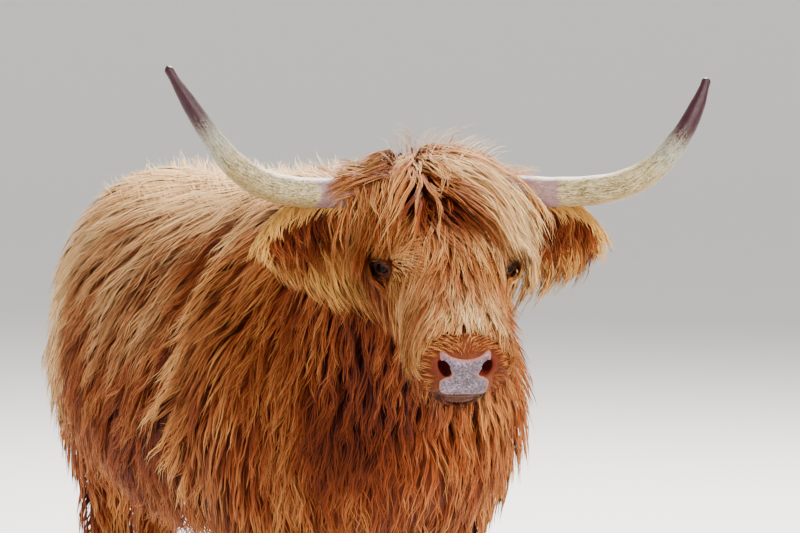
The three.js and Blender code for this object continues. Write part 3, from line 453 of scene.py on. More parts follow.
def new_object(name, data):
    """Links a new object with this mesh, light or camera to the scene."""
    made = bpy.data.objects.new(name, data)
    bpy.context.scene.collection.objects.link(made)
    return made


def mesh_object(name, points, faces, smooth=True):
    """An object from points in the cow's measures, its faces outwards."""
    mesh = bpy.data.meshes.new(name)
    mesh.from_pydata(to_frame(points).tolist(), [], [tuple(map(int, face)) for face in faces])
    work = bmesh.new()
    work.from_mesh(mesh)
    bmesh.ops.remove_doubles(work, verts=work.verts, dist=1e-6)
    bmesh.ops.recalc_face_normals(work, faces=work.faces)
    work.to_mesh(mesh)
    work.free()
    if smooth:
        mesh.shade_smooth()
    return new_object(name, mesh)


def apply_modifier(target, modifier):
    """Turns what a modifier makes into the object's plain mesh and removes the modifier."""
    evaluated = target.evaluated_get(bpy.context.evaluated_depsgraph_get())
    plain = bpy.data.meshes.new_from_object(evaluated)
    target.modifiers.remove(modifier)
    old = target.data
    target.data = plain
    bpy.data.meshes.remove(old)
    return target


def modified(target, kind, **settings):
    """Adds a modifier with these settings and applies it."""
    modifier = target.modifiers.new(kind, kind)
    for key, value in settings.items():
        setattr(modifier, key, value)
    return apply_modifier(target, modifier)


def even_skin(target, name):
    """Makes one even, smooth surface of an object, as fine as SKINS says."""
    fineness, rounds = SKINS[name]
    modified(target, "REMESH", mode="VOXEL", voxel_size=fineness, use_smooth_shade=True)
    return modified(target, "SMOOTH", factor=0.5, iterations=rounds)


def combine(target, others, operation):
    """Joins or cuts the target with other objects, which go."""
    for other in others:
        modified(target, "BOOLEAN", object=other, operation=operation, solver="MANIFOLD")
        bpy.data.objects.remove(other)
    return target


def ellipsoid(name, centre, axes, radii, around=32, down=20):
    """A closed ellipsoid with its radii along three directions."""
    heights = np.linspace(0, np.pi, down + 1)[1:-1]
    turns = 2 * np.pi * np.arange(around) / around
    ring = [
        [math.sin(h) * math.cos(a), math.sin(h) * math.sin(a), math.cos(h)] for h in heights for a in turns
    ]
    local = np.array([*ring, [0, 0, 1], [0, 0, -1]]) * radii
    return mesh_object(name, centre + local @ np.stack(axes), capped_faces(len(heights) - 1, around))


def prism(name, outline, back, front):
    """A bar along the face with an outline of left and out."""
    count = len(outline)
    points = [on_head(along, left, out) for along in (back, front) for left, out in outline]
    ends = [tuple(range(count))[::-1], tuple(range(count, 2 * count))]
    return mesh_object(name, points, tube_faces(1, count) + ends, smooth=False)


def smooth_outline(corners, steps):
    """A closed outline rounded through its corners."""
    ring = np.array([corners[-1], *corners, corners[0], corners[1]], float)
    t = np.arange(len(corners) * steps) / steps + 1
    return mix_rows(ring, t)


# ---- materials

class Socket:
    """An output of a node tree. Arithmetic on it adds the Math nodes."""

    def __init__(self, tree, output):
        self.tree = tree
        self.output = output

    def add(self, kind, settings=None, values=None, output=0):
        """Adds a node of any kind. Its settings come first, then its sockets' values or links."""
        node = self.tree.nodes.new(kind)
        for key, value in (settings or {}).items():
            if key == "stops":
                fill_ramp(node.color_ramp, value)
            else:
                setattr(node, key, value)
        for key, value in (values or {}).items():
            if isinstance(value, Socket):
                self.tree.links.new(value.output, node.inputs[key])
            else:
                node.inputs[key].default_value = value
        return Socket(self.tree, node.outputs[output])

    def math(self, operation, first, second=0.0):
        """A Math node."""
        return self.add("ShaderNodeMath", {"operation": operation}, {0: first, 1: second})

    def __add__(self, other):
        return self.math("ADD", self, other)

    def __sub__(self, other):
        return self.math("SUBTRACT", self, other)

    def __rsub__(self, other):
        return self.math("SUBTRACT", other, self)

    def __mul__(self, other):
        return self.math("MULTIPLY", self, other)

    __radd__, __rmul__ = __add__, __mul__

    def __truediv__(self, other):
        return self.math("DIVIDE", self, other)

    def __pow__(self, other):
        return self.math("POWER", self, other)

    def sin(self):
        """The sine of an angle in radians."""
        return self.math("SINE", self)

    def ramp(self, low, high):
        """0 below low, 1 above high, and smooth between them."""
        return self.add(
            "ShaderNodeMapRange", {"interpolation_type": "SMOOTHSTEP"},
            {"Value": self, "From Min": low, "From Max": high},
        )

    def mix(self, first, second):
        """A colour between two, with this socket as the share of the second."""
        return self.add("ShaderNodeMix", {"data_type": "RGBA"}, {0: self, 6: first, 7: second}, 2)

    def colours(self, *stops):
        """A colour ramp of (place, colour) read by this socket."""
        return self.add("ShaderNodeValToRGB", {"stops": stops}, {0: self})


def fill_ramp(ramp, stops):
    """Sets the stops of a colour ramp."""
    while len(ramp.elements) > 1:
        ramp.elements.remove(ramp.elements[-1])
    ramp.elements[0].position, ramp.elements[0].color = stops[0]
    for place, colour in stops[1:]:
        ramp.elements.new(place).color = colour


def rgb(red, green, blue):
    """A colour given as it looks on a screen, 0 to 255, in the linear values that shaders take."""
    return (*(((v / 255 + 0.055) / 1.055) ** 2.4 if v > 10 else v / 3295 for v in (red, green, blue)), 1.0)


def socket_name(key):
    """The shader's name for a socket, such as IOR Level for ior_level."""
    return key.replace("_", " ").title().replace("Ior", "IOR")


class Finish:
    """A material with one principled shader."""

    def __init__(self, name, **constants):
        self.material = bpy.data.materials.new(name)
        self.material.use_nodes = True
        self.tree = self.material.node_tree
        self.shader = self.tree.nodes["Principled BSDF"]
        for key, value in constants.items():
            self.shader.inputs[socket_name(key)].default_value = value
        self.start = Socket(self.tree, None)
        self.place = self.start.add("ShaderNodeTexCoord", output="Object")

    def attribute(self, name):
        """A number that is kept on the mesh's points."""
        return self.start.add("ShaderNodeAttribute", {"attribute_name": name}, output="Fac")

    def place_from(self, x, y, z):
        """A place made of three numbers."""
        return self.start.add("ShaderNodeCombineXYZ", {}, {"X": x, "Y": y, "Z": z})

    def noise(self, scale, detail=3.0, roughness=0.5, distortion=0.0, at=None):
        """Noise from 0 to 1."""
        return self.start.add("ShaderNodeTexNoise", {}, {
            "Vector": at or self.place, "Scale": scale, "Detail": detail, "Roughness": roughness,
            "Distortion": distortion,
        })

    def set(self, **links):
        """Feeds sockets of the shader."""
        for key, value in links.items():
            self.tree.links.new(value.output, self.shader.inputs[socket_name(key)])
        return self.material

    def bump(self, height, strength, distance):
        """A Bump node for the shader's normal."""
        return self.start.add("ShaderNodeBump", {}, {
            "Height": height, "Strength": strength, "Distance": distance,
        }, "Normal")


def paint(target, material):
    """Gives an object this material alone."""
    target.data.materials.clear()
    target.data.materials.append(material)


def keep_numbers(mesh, **columns):
    """Keeps a number for each point of the mesh under each name."""
    for name, numbers in columns.items():
        mesh.attributes.new(name, "FLOAT", "POINT").data.foreach_set("value", np.asarray(numbers, np.float32))


def points_of(mesh):
    """The points of a mesh, in the cow's measures."""
    flat = np.empty(3 * len(mesh.vertices))
    mesh.vertices.foreach_get("co", flat)
    return from_frame(flat.reshape(-1, 3))


# ---- markings and painted light

def noise_at(points, size, seed):
    """Smooth random numbers from -1 to 1 that change over `size` millimetres."""
    rng = np.random.default_rng(seed)
    total = np.zeros(len(points))
    for _ in range(7):
        way = unit(rng.normal(size=3))
        total += np.sin(points @ way * (2 * np.pi / size) * rng.uniform(0.6, 1.5) + rng.uniform(0, 6.28))
    return np.clip(total / 2.6, -1, 1)


def ease(values, low, high):
    """0 below low, 1 above high, and smooth between them."""
    share = np.clip((values - low) / (high - low), 0, 1)
    return share * share * (3 - 2 * share)


def bell(values, middle, width):
    """1 at the middle and falling off to both sides."""
    return np.exp(-(((values - middle) / width) ** 2))


def bleach_and_painted_light(points, normals):
    """How pale the coat is at places of the body, most along the back and rump: partly hair faded to cream by
    the sun, partly painted light where the back faces up, on the rump's rim and on the lit side of the
    forelock.
    """
    along, left, out = head_place(points).T
    # top is painted light where the back faces up, rump is painted light on the rump's rim; flank, face and
    # bridge make the upper rear flank, the forelock and the nose's bridge paler
    top = ease(normals[:, 2], 0.2, 1.0) * ease(points[:, 2], 940, 1140) * ease(points[:, 1], -400, 40)
    rump = ease(points[:, 1], 380, 920) * ease(points[:, 2], 500, 940)
    flank = ease(points[:, 1], -220, 360) * ease(points[:, 2], 700, 1050) * 0.64
    # locks is painted light on the lit side of the forelock
    locks = 0.5 * ease(left, -20, 50) * ease(-along, -130, -70)
    face = ease(along, -120, 40) * ease(-along, -330, -120) * ease(out, -60, 10) * (0.26 + locks)
    bridge = ease(along, 160, 230) * ease(-along, -425, -400) * ease(out, -75, -10) * 0.42
    patches = 0.14 * noise_at(points, 300, 5) + 0.1 * noise_at(points, 110, 6)
    return np.clip(np.maximum.reduce([top, rump, flank, face, bridge]) + patches, 0, 1)


# ---- skin

def cut_tools():
    """The nostrils and the slot between the lips."""
    tools = []
    for name, side in SIDES.items():
        high = unit(OUT_OF_FACE + HEAD_LEFT * NOSTRIL["lean"] * side)
        across = unit(np.cross(high, ALONG_FACE))
        axes = across, high, ALONG_FACE
        tools.append(ellipsoid("nostril_" + name, on_side(NOSTRIL["place"], side), axes, NOSTRIL["radii"]))
    return tools + [mouth_slot()]


def mouth_slot():
    """A flat band round the muzzle, from one corner of the mouth to the other."""
    steps = 40
    front = max(row[0] for row in SKULL_ROWS)
    angles = np.pi * np.arange(steps + 1) / steps
    ahead = (front - MOUTH["corner"] + MOUTH["past"]) * np.sin(angles).clip(0) ** MOUTH["blunt"]
    arc = np.stack([MOUTH["wide"] / 2 * np.cos(angles), ahead], axis=1)
    inner = 1 - 2 * (MOUTH["depth"] + 10) / MOUTH["wide"]
    rings = []
    for scale, low, high in ((MOUTH["beyond"], 0, MOUTH["height"]), (inner, 2, MOUTH["height"] - 2)):
        for height in (low, high):
            rings.append([
                on_head(MOUTH["corner"] + along * scale, left * scale, mouth_line(left, height))
                for left, along in arc
            ])
    count = steps + 1
    points = np.concatenate(rings)
    faces = []
    for k in range(steps):
        for a, b in ((0, 1), (1, 3), (3, 2), (2, 0)):
            faces.append((a * count + k, a * count + k + 1, b * count + k + 1, b * count + k))
    faces += [(k, count + k, 3 * count + k, 2 * count + k) for k in (0, steps)]
    return mesh_object("mouth_slot", points, faces)


def loft_object(name, form, share=0.0, grow=0.0, sides=48, rings=60):
    """The closed surface of a form as an object."""
    return mesh_object(name, *form.loft(share, grow, sides, rings))


def lid_rim(name, axes, centre):
    """The thick edge of the lids: a tube round the slit, thickest above and drawn out at the corners."""
    corner, high, gaze = axes
    turns, around = 48, 8
    points = []
    for k in range(turns):
        angle = 2 * np.pi * k / turns
        lid = "above" if math.sin(angle) > 0 else "below"
        thick = LID_RIM["thick_" + lid]
        across, tall = LID_RIM["wide"] * math.cos(angle), LID_RIM[lid] * math.sin(angle)
        depth = math.sqrt(max(EYE["radius"] ** 2 - 0.55 * (across**2 + tall**2), 30)) + 2
        ring_centre = centre + corner * across + high * tall + gaze * (depth - 0.011 * across**2)
        outward = unit(corner * math.cos(angle) + high * math.sin(angle))
        for j in range(around):
            turn = 2 * np.pi * j / around
            points.append(ring_centre + thick * (outward * math.cos(turn) + gaze * math.sin(turn)))
    return mesh_object("lid_rim_" + name, points, tube_faces(turns, around, closed=True))


def head_skin():
    """Skull, chin, lids and ears in one surface, with the nostrils, the mouth and the cups of the ears."""
    head = loft_object("head_skin", SKULL, sides=72, rings=90)
    others = [loft_object("chin", CHIN, sides=48, rings=40)]
    slits = []
    for name, side in SIDES.items():
        lip_axes = HEAD_LEFT, OUT_OF_FACE, ALONG_FACE
        others.append(ellipsoid("lip_" + name, on_side(LIP["place"], side), lip_axes, LIP["radii"]))
        centre, axes = EYES[name]
        others.append(ellipsoid("lids_" + name, centre, axes, np.array(EYE["lids"]) + (0, 0, -1)))
        others.append(lid_rim(name, axes, centre))
        slits.append(ellipsoid("slit_" + name, centre + axes[2] * EYE["slit_out"], axes, EYE["slit"]))
    combine(head, others, "UNION")
    combine(head, slits + cut_tools(), "DIFFERENCE")
    for name in SIDES:
        ear = loft_object("ear_skin", EARS[name], sides=40, rings=40)
        combine(ear, [loft_object("ear_cup", CUPS[name], sides=40, rings=40)], "DIFFERENCE")
        combine(head, [ear], "UNION")
    return even_skin(head, "head")


def body_skin():
    """Trunk, neck, legs and tail in one surface."""
    body = loft_object("skin", TRUNK, sides=72, rings=80)
    others = [loft_object("neck", NECK), loft_object("tail", TAIL, sides=24)]
    others += [loft_object("leg", form, sides=32, rings=70) for form in LEG_FORMS.values()]
    combine(body, others, "UNION")
    return even_skin(body, "body")


def udder_skin():
    """The udder with its four teats."""
    middle = np.array([0, UDDER["y"], UDDER["z"]])
    bag = ellipsoid("udder_skin", middle, (X, Y, Z), (UDDER["wide"], UDDER["long"], UDDER["deep"]))
    radius, teats = UDDER["teat_radius"], []
    for left in (-1, 1):
        for back in (-1, 1):
            place = middle + (left * UDDER["wide"] * 0.45, back * UDDER["long"] * 0.4, -UDDER["deep"] * 0.78)
            teats.append(ellipsoid("teat", place, (X, Y, Z), (radius, radius, UDDER["teat_length"])))
    combine(bag, teats, "UNION")
    return even_skin(bag, "udder")


def skin_material(colour):
    """Short dense fur seen between the tufts, bare pink skin on the udder, and dark bare lids and lips; the
    lips' dark colour also paints the shadow in the mouth's slot and under the upper lip, and the fur is paler
    where sun-faded and where light is painted.
    """
    finish = Finish("cow_skin", roughness=0.7, specular_ior_level=0.15)
    fine, broad = finish.noise(900, 3), finish.noise(14, 4)
    # the dark end of the fur under the tufts is partly painted shade deep in the coat
    under = (broad * 0.7 + fine * 0.45).colours((0.3, rgb(70, 20, 3)), (0.6, colour), (0.9, rgb(160, 78, 28)))
    close = (broad * 0.45 + fine * 0.6).colours(
        (0.34, rgb(62, 20, 6)), (0.52, rgb(98, 44, 18)), (0.72, rgb(142, 82, 44)),
    )
    fur = finish.attribute("short").mix(under, close)
    # paler where the sun number says: sun-faded fur and painted light
    faded = (finish.attribute("sun").ramp(0.4, 1.0) * 0.6).mix(fur, rgb(206, 162, 112))
    bare = finish.noise(260, 4).colours((0.3, rgb(172, 116, 98)), (0.7, rgb(214, 166, 144)))
    # dark lips and lids, also used as painted shadow along the mouth's slot and under the upper lip
    lips = finish.noise(420, 3).colours((0.35, rgb(36, 12, 7)), (0.7, rgb(104, 52, 36)))
    colour = finish.attribute("lips").mix(finish.attribute("bare").mix(faded, bare), lips)
    # inside: the nostrils painted dark red as shade over their reddish skin
    inside = finish.attribute("inside").mix(colour, rgb(92, 22, 12))
    rough = 0.66 - finish.attribute("lips") * 0.2
    return finish.set(base_color=inside, roughness=rough, normal=finish.bump(fine, 0.5, 0.004))


def skin_marks(mesh, points, normals):
    """The numbers that the skin's material reads: bleaching with painted light, bare skin, lips and lids with
    painted shadow at the mouth, and the nostrils' painted shade.
    """
    along, left, out = head_place(points).T
    bare = 1 - ease(from_udder(points), 100, 128)
    line = mouth_line(left)
    # dark lips along the mouth's slot, also painted shadow in its gap
    lips = (1 - ease(np.abs(out - line), 6, 12)) * ease(along, 345, 375)
    for centre, (corner, high, gaze) in EYES.values():
        away = points - centre
        wide, tall = away @ corner / 23, away @ high / 11.5
        lips = np.maximum(lips, (1 - ease(np.hypot(wide, tall), 0.85, 1.15)) * ease(away @ gaze, 2, 8))
    # inside: painted shade in the nostrils
    inside = 1 - ease(from_nostrils(points, 6), 15, 32)
    # under: painted shadow below the mouth, on the chin
    under = 0.9 * ease(line - out, -2, 4) * ease(out - line, -60, -30) * ease(along, 385, 415)
    lips = np.maximum(lips, under)
    short = ease(along, 380, 405) * (np.abs(left) < 120) * (np.abs(out + 90) < 110)
    for centre, _ in EYES.values():
        short = np.maximum(short, 1 - ease(lengths(points - centre), 34, 55))
    for form in LEG_FORMS.values():
        near = lengths(points[:, :2] - form.rows[4, :2])
        short = np.maximum(short, (1 - ease(points[:, 2], 250, 330)) * (near < 120))
    keep_numbers(
        mesh, sun=bleach_and_painted_light(points, normals), bare=bare, lips=lips.clip(0, 1), inside=inside, short=short,
    )


class Surface:
    """The finished skin, for finding the nearest place on it."""

    def __init__(self, mesh):
        points = [tuple(p) for p in points_of(mesh)]
        mesh.calc_loop_triangles()
        self.normals = np.array([tuple(n.vector) for n in mesh.vertex_normals])
        self.corners = [tuple(t.vertices) for t in mesh.loop_triangles]
        self.tree = BVHTree.FromPolygons(points, self.corners)
        self.points = np.array(points)

    def nearest(self, points):
        """The nearest places on the skin and the ways out there."""
        found = [self.tree.find_nearest(Vector(p)) for p in points]
        places = np.array([tuple(f[0]) for f in found])
        near = np.array([self.corners[f[2]] for f in found])
        reach = lengths(self.points[near] - places[:, None])
        share = 1 / (reach + 1)
        return places, unit((self.normals[near] * share[..., None]).sum(axis=1))


SKIN = {}


# ---- coat

STEPS = 10  # parts of the middle line of a tuft
EVEN_STEPS = (0.7548776662, 0.5698402910)  # shares of two ranges whose multiples fill both evenly
STIFFNESS = 0.5  # how much a tuft keeps its way from step to step
THICKNESS = 0.3  # of a strand, as a share of its width
FINE = 40  # parts of a line that are looked at one by one
SHORT = 0.06  # how far short of what it keeps clear of a line ends, as a share of its length
PATCH = 0.003  # size of a strand's place on the unwrap


def spread(form, rows, angles, apart, seed):
    """Evenly spread places on part of a form, about `apart` from each other: row numbers and angles."""
    fine = 64
    t, turn = np.linspace(*rows, fine + 1), np.radians(np.linspace(*angles, fine + 1))
    all_t, all_turns = (grid.ravel() for grid in np.meshgrid(t, turn, indexing="ij"))
    grid = form.points(all_t, all_turns, 0.2).reshape(fine + 1, fine + 1, 3)
    cells = lengths(np.cross(grid[1:, :-1] - grid[:-1, :-1], grid[:-1, 1:] - grid[:-1, :-1])) + 1e-6
    count = int(cells.sum() / apart**2)
    k = np.arange(count)
    u, v = ((first * seed + step * k) % 1 for first, step in zip((0.37, 0.61), EVEN_STEPS))
    walked = np.concatenate([[0], np.cumsum(cells.sum(axis=1))]) / cells.sum()
    row = np.clip(np.searchsorted(walked, u) - 1, 0, fine - 1)
    round_it = np.hstack([np.zeros((fine, 1)), np.cumsum(cells, axis=1)])
    round_it /= round_it[:, -1:]
    return np.interp(u, walked, t), np.array([np.interp(b, round_it[r], turn) for b, r in zip(v, row)])


def along_lines(lines, parts):
    """Points of each line at its own parts, 0 to 1, of its length."""
    spot = np.clip(parts, 0, 1) * (lines.shape[1] - 1)
    i = np.minimum(spot.astype(int), lines.shape[1] - 2)
    f = (spot - i)[..., None]
    pick = np.arange(len(lines))[:, None]
    return lines[pick, i] * (1 - f) + lines[pick, i + 1] * f


class Tufts:
    """One kind of tuft: where it grows, how it lies and how its strands are made. Lengths in millimetres."""

    rings = 5  # sections of a strand
    held = 1.0  # part of the tuft that keeps its height over the skin
    over = 0.0  # height over the coat's usual depth
    start, lift = 0.12, 0.8  # share of that height at the root, and how slowly the rest comes
    clump = 0.5  # how far strands draw together towards the tip
    lock, gather = 75.0, 0.5  # distance between locks, and how far tufts draw towards their middles
    wave, wavelength = 5.0, 85.0
    stray, loose = 0.2, 1.2  # how far tufts and single strands leave the lie
    keep = None  # tells which places may grow hair
    longer = None  # tells how much longer the hair is at a place
    near, off_eye = 9.0, 31.0  # furthest from the form, and nearest to an eye
    part_at_eyes = hollow = False  # ends where it would hang before an eye, or before the forelock's hollow
    tone, contrast = 0.0, 0.1  # lighter or darker, and how much tufts differ in it
    gold, pale = 0.0, 0.0  # lighter along the strand, and paler: more sun-faded and more painted light
    soft = 0.6  # how far the shading follows the coat and not the strand
    sunk = 2.5  # depth of the root in the skin

    def __init__(self, form, rows, angles, way, apart, strands, length, width, **more):
        self.form, self.rows, self.angles, self.way = form, rows, angles, way
        self.apart, self.strands, self.length, self.width = apart, strands, length, width
        self.__dict__.update(more)

    def plant(self, seed):
        """Sets the roots: row numbers, angles, places and ways out of the tufts' middles on the skin."""
        self.rng = np.random.default_rng(seed)
        t, angle = spread(self.form, self.rows, self.angles, self.apart, seed)
        guess = self.form.points(t, angle)
        places, outs = SKIN["surface"].nearest(guess)
        good = (lengths(places - guess) < self.near) & self.allowed(places)
        self.t, self.angle, self.places, self.outs = t[good], angle[good], places[good], outs[good]
        return len(self.t) * self.strands * (6 * self.rings - 2)

    def allowed(self, places):
        """Which places are clear of the eyes, the udder and whatever this kind keeps off."""
        good = np.ones(len(places), bool) if self.keep is None else self.keep(places)
        for centre, _ in EYES.values():
            good &= lengths((places - centre) * (1, 1, 1.3)) > self.off_eye
        return good & (from_udder(places) > 112)

    def guides(self, depth, length):
        """The middle lines of the tufts, with the ways out along them. Neighbours gather into locks."""
        count = len(self.places)
        place, out = self.places.copy(), self.outs
        want = self.way(place, 0.0)
        before = unit(want - out * (want * out).sum(axis=1)[:, None] + 0.35 * out)
        bend = 0.3 * noise_at(place, 330, 11) + self.stray * self.rng.normal(size=count)
        turn = self.rng.uniform(0, np.pi, count) + 3 * noise_at(place, 500, 12)
        lines, ways_out = [place], [out]
        for i in range(STEPS):
            part = (i + 1) / STEPS
            held = part <= self.held
            want = unit(self.way(place, part))
            want = want + np.cross(want, out) * (bend * np.sin(4.5 * part + turn) + 0.4 * bend)[:, None]
            into = (want * out).sum(axis=1)
            want = want - out * (into if held else np.minimum(into, 0))[:, None]
            before = unit(unit(want) * (1 - STIFFNESS) + before * STIFFNESS)
            place = place + before * (length / STEPS)[:, None]
            near, normal = SKIN["surface"].nearest(place)
            high = ((place - near) * normal).sum(axis=1)
            short = depth * (self.start + (1 - self.start) * part**self.lift) - high
            place = place + normal * (short if held else np.maximum(short, 0))[:, None]
            out = unit(0.55 * normal + 0.45 * out)
            lines.append(place)
            ways_out.append(out)
        lines = np.stack(lines, axis=1)
        leaders = max(1, int(count * (self.apart / self.lock) ** 2))
        away = ((self.places[:, None] - self.places[None, :leaders]) ** 2).sum(axis=2)
        mine = away.argmin(axis=1)
        share = (np.linspace(0, 1, STEPS + 1) ** 1.2)[None, :, None] * self.gather
        own, theirs = lines - self.places[:, None], (lines - self.places[:, None])[mine]
        nearer = (self.places[mine] - self.places)[:, None]
        lines = lines + (theirs - own) * share * 0.7 + nearer * share * 0.5
        return lines, np.stack(ways_out, axis=1)

    def blades(self, density):
        """All strands: points, triangles and the numbers that go with the points."""
        rng, t, angle, places = self.rng, self.t, self.angle, self.places
        if not len(t):
            return None
        depth = np.interp(t, np.arange(len(self.form.rows)), self.form.rows[:, -1])
        rise = np.sin(angle)
        depth = depth * np.where(rise > 0, self.form.on_top, 1) ** np.abs(rise) + self.over
        depth = depth * (1 + 0.12 * noise_at(places, 90, 21)) * rng.uniform(0.82, 1.06, len(t))
        behind = behind_shoulder(places)
        depth = depth + 24 * bell(behind, -14, 40) - 12 * bell(behind, 56, 24)
        length = self.length * rng.uniform(0.82, 1.14, len(t))
        if self.longer is not None:
            length = length * self.longer(places)
        lines, ways_out = self.guides(depth, length)
        reach = free_of_eyes(lines) if self.part_at_eyes else np.ones(len(t))
        if self.hollow:
            reach = np.minimum(reach, free_of_hollow(lines))
        clump_tone, clump_phase = rng.normal(size=len(t)), rng.uniform(0, 2 * np.pi, len(t))
        clump_tone = 0.6 * clump_tone + 0.8 * noise_at(places, 160, 23) * 1.6

        each = np.floor(self.strands * density + rng.random(len(t))).astype(int) * (reach > 0.08)
        which = np.repeat(np.arange(len(t)), each)
        count = len(which)
        first = unit(lines[:, 1] - lines[:, 0])[which]
        second = np.cross(self.outs[which], first)
        far, round_it = 0.66 * self.apart * np.sqrt(rng.random(count)), rng.uniform(0, 2 * np.pi, count)
        offset = first * (far * np.cos(round_it))[:, None] + second * (far * np.sin(round_it))[:, None]
        root, root_out = SKIN["surface"].nearest(places[which] + offset)
        good = (lengths(root - places[which]) < 1.3 * self.apart) & self.allowed(root)
        which, root, root_out, count = which[good], root[good], root_out[good], int(good.sum())

        steps = np.linspace(0, 1, self.rings + 1) ** 0.9
        share = (rng.uniform(0.68, 1.04, count) * reach[which])[:, None] * steps
        middle = along_lines(lines[which], share)
        normal = unit(along_lines(ways_out[which], share))
        pinch = 1 - self.clump * rng.uniform(0.55, 1.15, count)[:, None] * steps**0.75
        path = middle + (root - places[which])[:, None] * pinch[..., None]
        tangent = unit(np.gradient(path, axis=1))
        sideways = unit(np.cross(tangent, normal))
        walked = length[which][:, None] * share
        phase = clump_phase[which][:, None] + rng.normal(0, 0.6, count)[:, None]
        size = self.wave * rng.uniform(0.5, 1.3, count)[:, None] * steps**0.6
        turns = 2 * np.pi * walked / self.wavelength + phase
        lifted = 0.35 * size * np.cos(turns) + rng.normal(0, self.loose, count)[:, None]
        path = path + sideways * (size * np.sin(turns))[..., None] + normal * (lifted * steps)[..., None]
        path[:, 0] = root - self.sunk * root_out
        return self.solid_blades(path, normal, steps, t[which], angle[which], clump_tone[which])

    def solid_blades(self, path, normal, steps, t, angle, clump_tone):
        """Closed three-sided blades along the paths, ending in a point."""
        rng, count, rings = self.rng, len(path), self.rings
        tangent = unit(np.gradient(path, axis=1))
        sideways = unit(np.cross(tangent, normal))
        over = np.cross(sideways, tangent)
        twist = rng.normal(0, 0.45, count)[:, None, None]
        side = sideways * np.cos(twist) + over * np.sin(twist)
        ridge = np.cross(side, tangent)
        up = unit(ridge * (1 - self.soft) + normal * self.soft)
        shape = np.interp(steps, [0, 0.2, 0.55, 0.8, 1], [0.75, 1, 0.92, 0.6, 0])
        wide = self.width * rng.uniform(0.6, 1.35, count)[:, None] * shape
        body = path[:, :-1]
        rings_of = np.stack([
            body - side[:, :-1] * wide[:, :-1, None] / 2,
            body + side[:, :-1] * wide[:, :-1, None] / 2,
            body + ridge[:, :-1] * wide[:, :-1, None] * THICKNESS,
        ], axis=2).reshape(count, 3 * rings, 3)
        points = np.concatenate([rings_of, path[:, -1:]], axis=1)
        shading = np.stack([unit(up - 0.7 * side), unit(up + 0.7 * side), up], axis=2)[:, :-1]
        shading = np.concatenate([shading.reshape(count, 3 * rings, 3), up[:, -1:]], axis=1)
        triangles = [(0, 1, 2)]
        for ring in range(rings):
            for a, b in ((0, 1), (1, 2), (2, 0)):
                p, q = 3 * ring + a, 3 * ring + b
                if ring + 1 == rings:
                    triangles.append((p, 3 * rings, q))
                else:
                    triangles += [(p, p + 3, q + 3), (p, q + 3, q)]
        triangles = np.array(triangles)[None] + (np.arange(count) * (3 * rings + 1))[:, None, None]
        across = np.tile([-1.0, 1.0, 0.0] * rings + [0.0], (count, 1))
        along = np.tile(np.append(np.repeat(steps[:-1], 3), 1.0), (count, 1))
        # how pale each blade is from sun-fading and painted light, read near its root
        root_bleach_and_light = np.clip(bleach_and_painted_light(path[:, 1], unit(normal[:, 0])) + self.pale, 0, 1)
        tone = 0.5 + self.tone + self.contrast * clump_tone + 0.1 * rng.normal(size=count)
        # shaded() adds painted shade and painted light to each blade's tone
        tone = np.clip(tone + shaded(path[:, 1]), 0, 1)

        def each(numbers):
            """The number of each blade, for all of its points."""
            return np.repeat(np.asarray(numbers)[:, None], points.shape[1], axis=1).ravel()

        return {
            "points": points.reshape(-1, 3), "triangles": triangles.reshape(-1, 3),
            "shading": shading.reshape(-1, 3),
            "across": across.ravel(), "along": along.ravel(), "sun": each(root_bleach_and_light), "tone": each(tone),
            "grain": each(rng.random(count)), "gold": each(np.full(count, self.gold)),
            "u": each(t / self.form.last), "v": each((angle / (2 * np.pi)) % 1),
        }


def finely(lines):
    """Many points along each line."""
    return along_lines(lines, np.tile(np.linspace(0, 1, FINE + 1), (len(lines), 1)))


def part_before(inside):
    """The part of each line that ends short of its first point inside, or all of it."""
    return np.where(inside.any(axis=1), inside.argmax(axis=1) / FINE, 1 + SHORT) - SHORT


def free_of_eyes(lines):
    """The part of each line up to where it would come before an eye."""
    fine = finely(lines)
    part = np.ones(len(lines))
    for name, (centre, (corner, high, gaze)) in EYES.items():
        for forward in (0, 0.5, 1) if name == "right" else (0, 0.5):
            ahead = unit(gaze * (1 - forward) + LEVEL_FORWARD * forward)
            away = fine - centre
            far = away @ ahead
            flat = away - far[..., None] * ahead
            inside = (np.hypot(flat @ corner / 20, flat @ high / 11) < 1) & (far > 4)
            part = np.minimum(part, part_before(inside))
    return part


def free_of_hollow(lines):
    """The part of each line up to where it would hang before the hollow in the forelock."""
    away = finely(lines) - on_head(*HOLLOW["place"])
    inside = np.hypot(away @ HEAD_LEFT / HOLLOW["wide"], away @ Z / HOLLOW["high"]) < 1
    inside &= away @ LEVEL_FORWARD > -40
    return part_before(inside)


# sun holds sun-fading together with painted light; tone also holds painted shade and light
COAT_NUMBERS = ("across", "along", "sun", "tone", "grain", "gold")


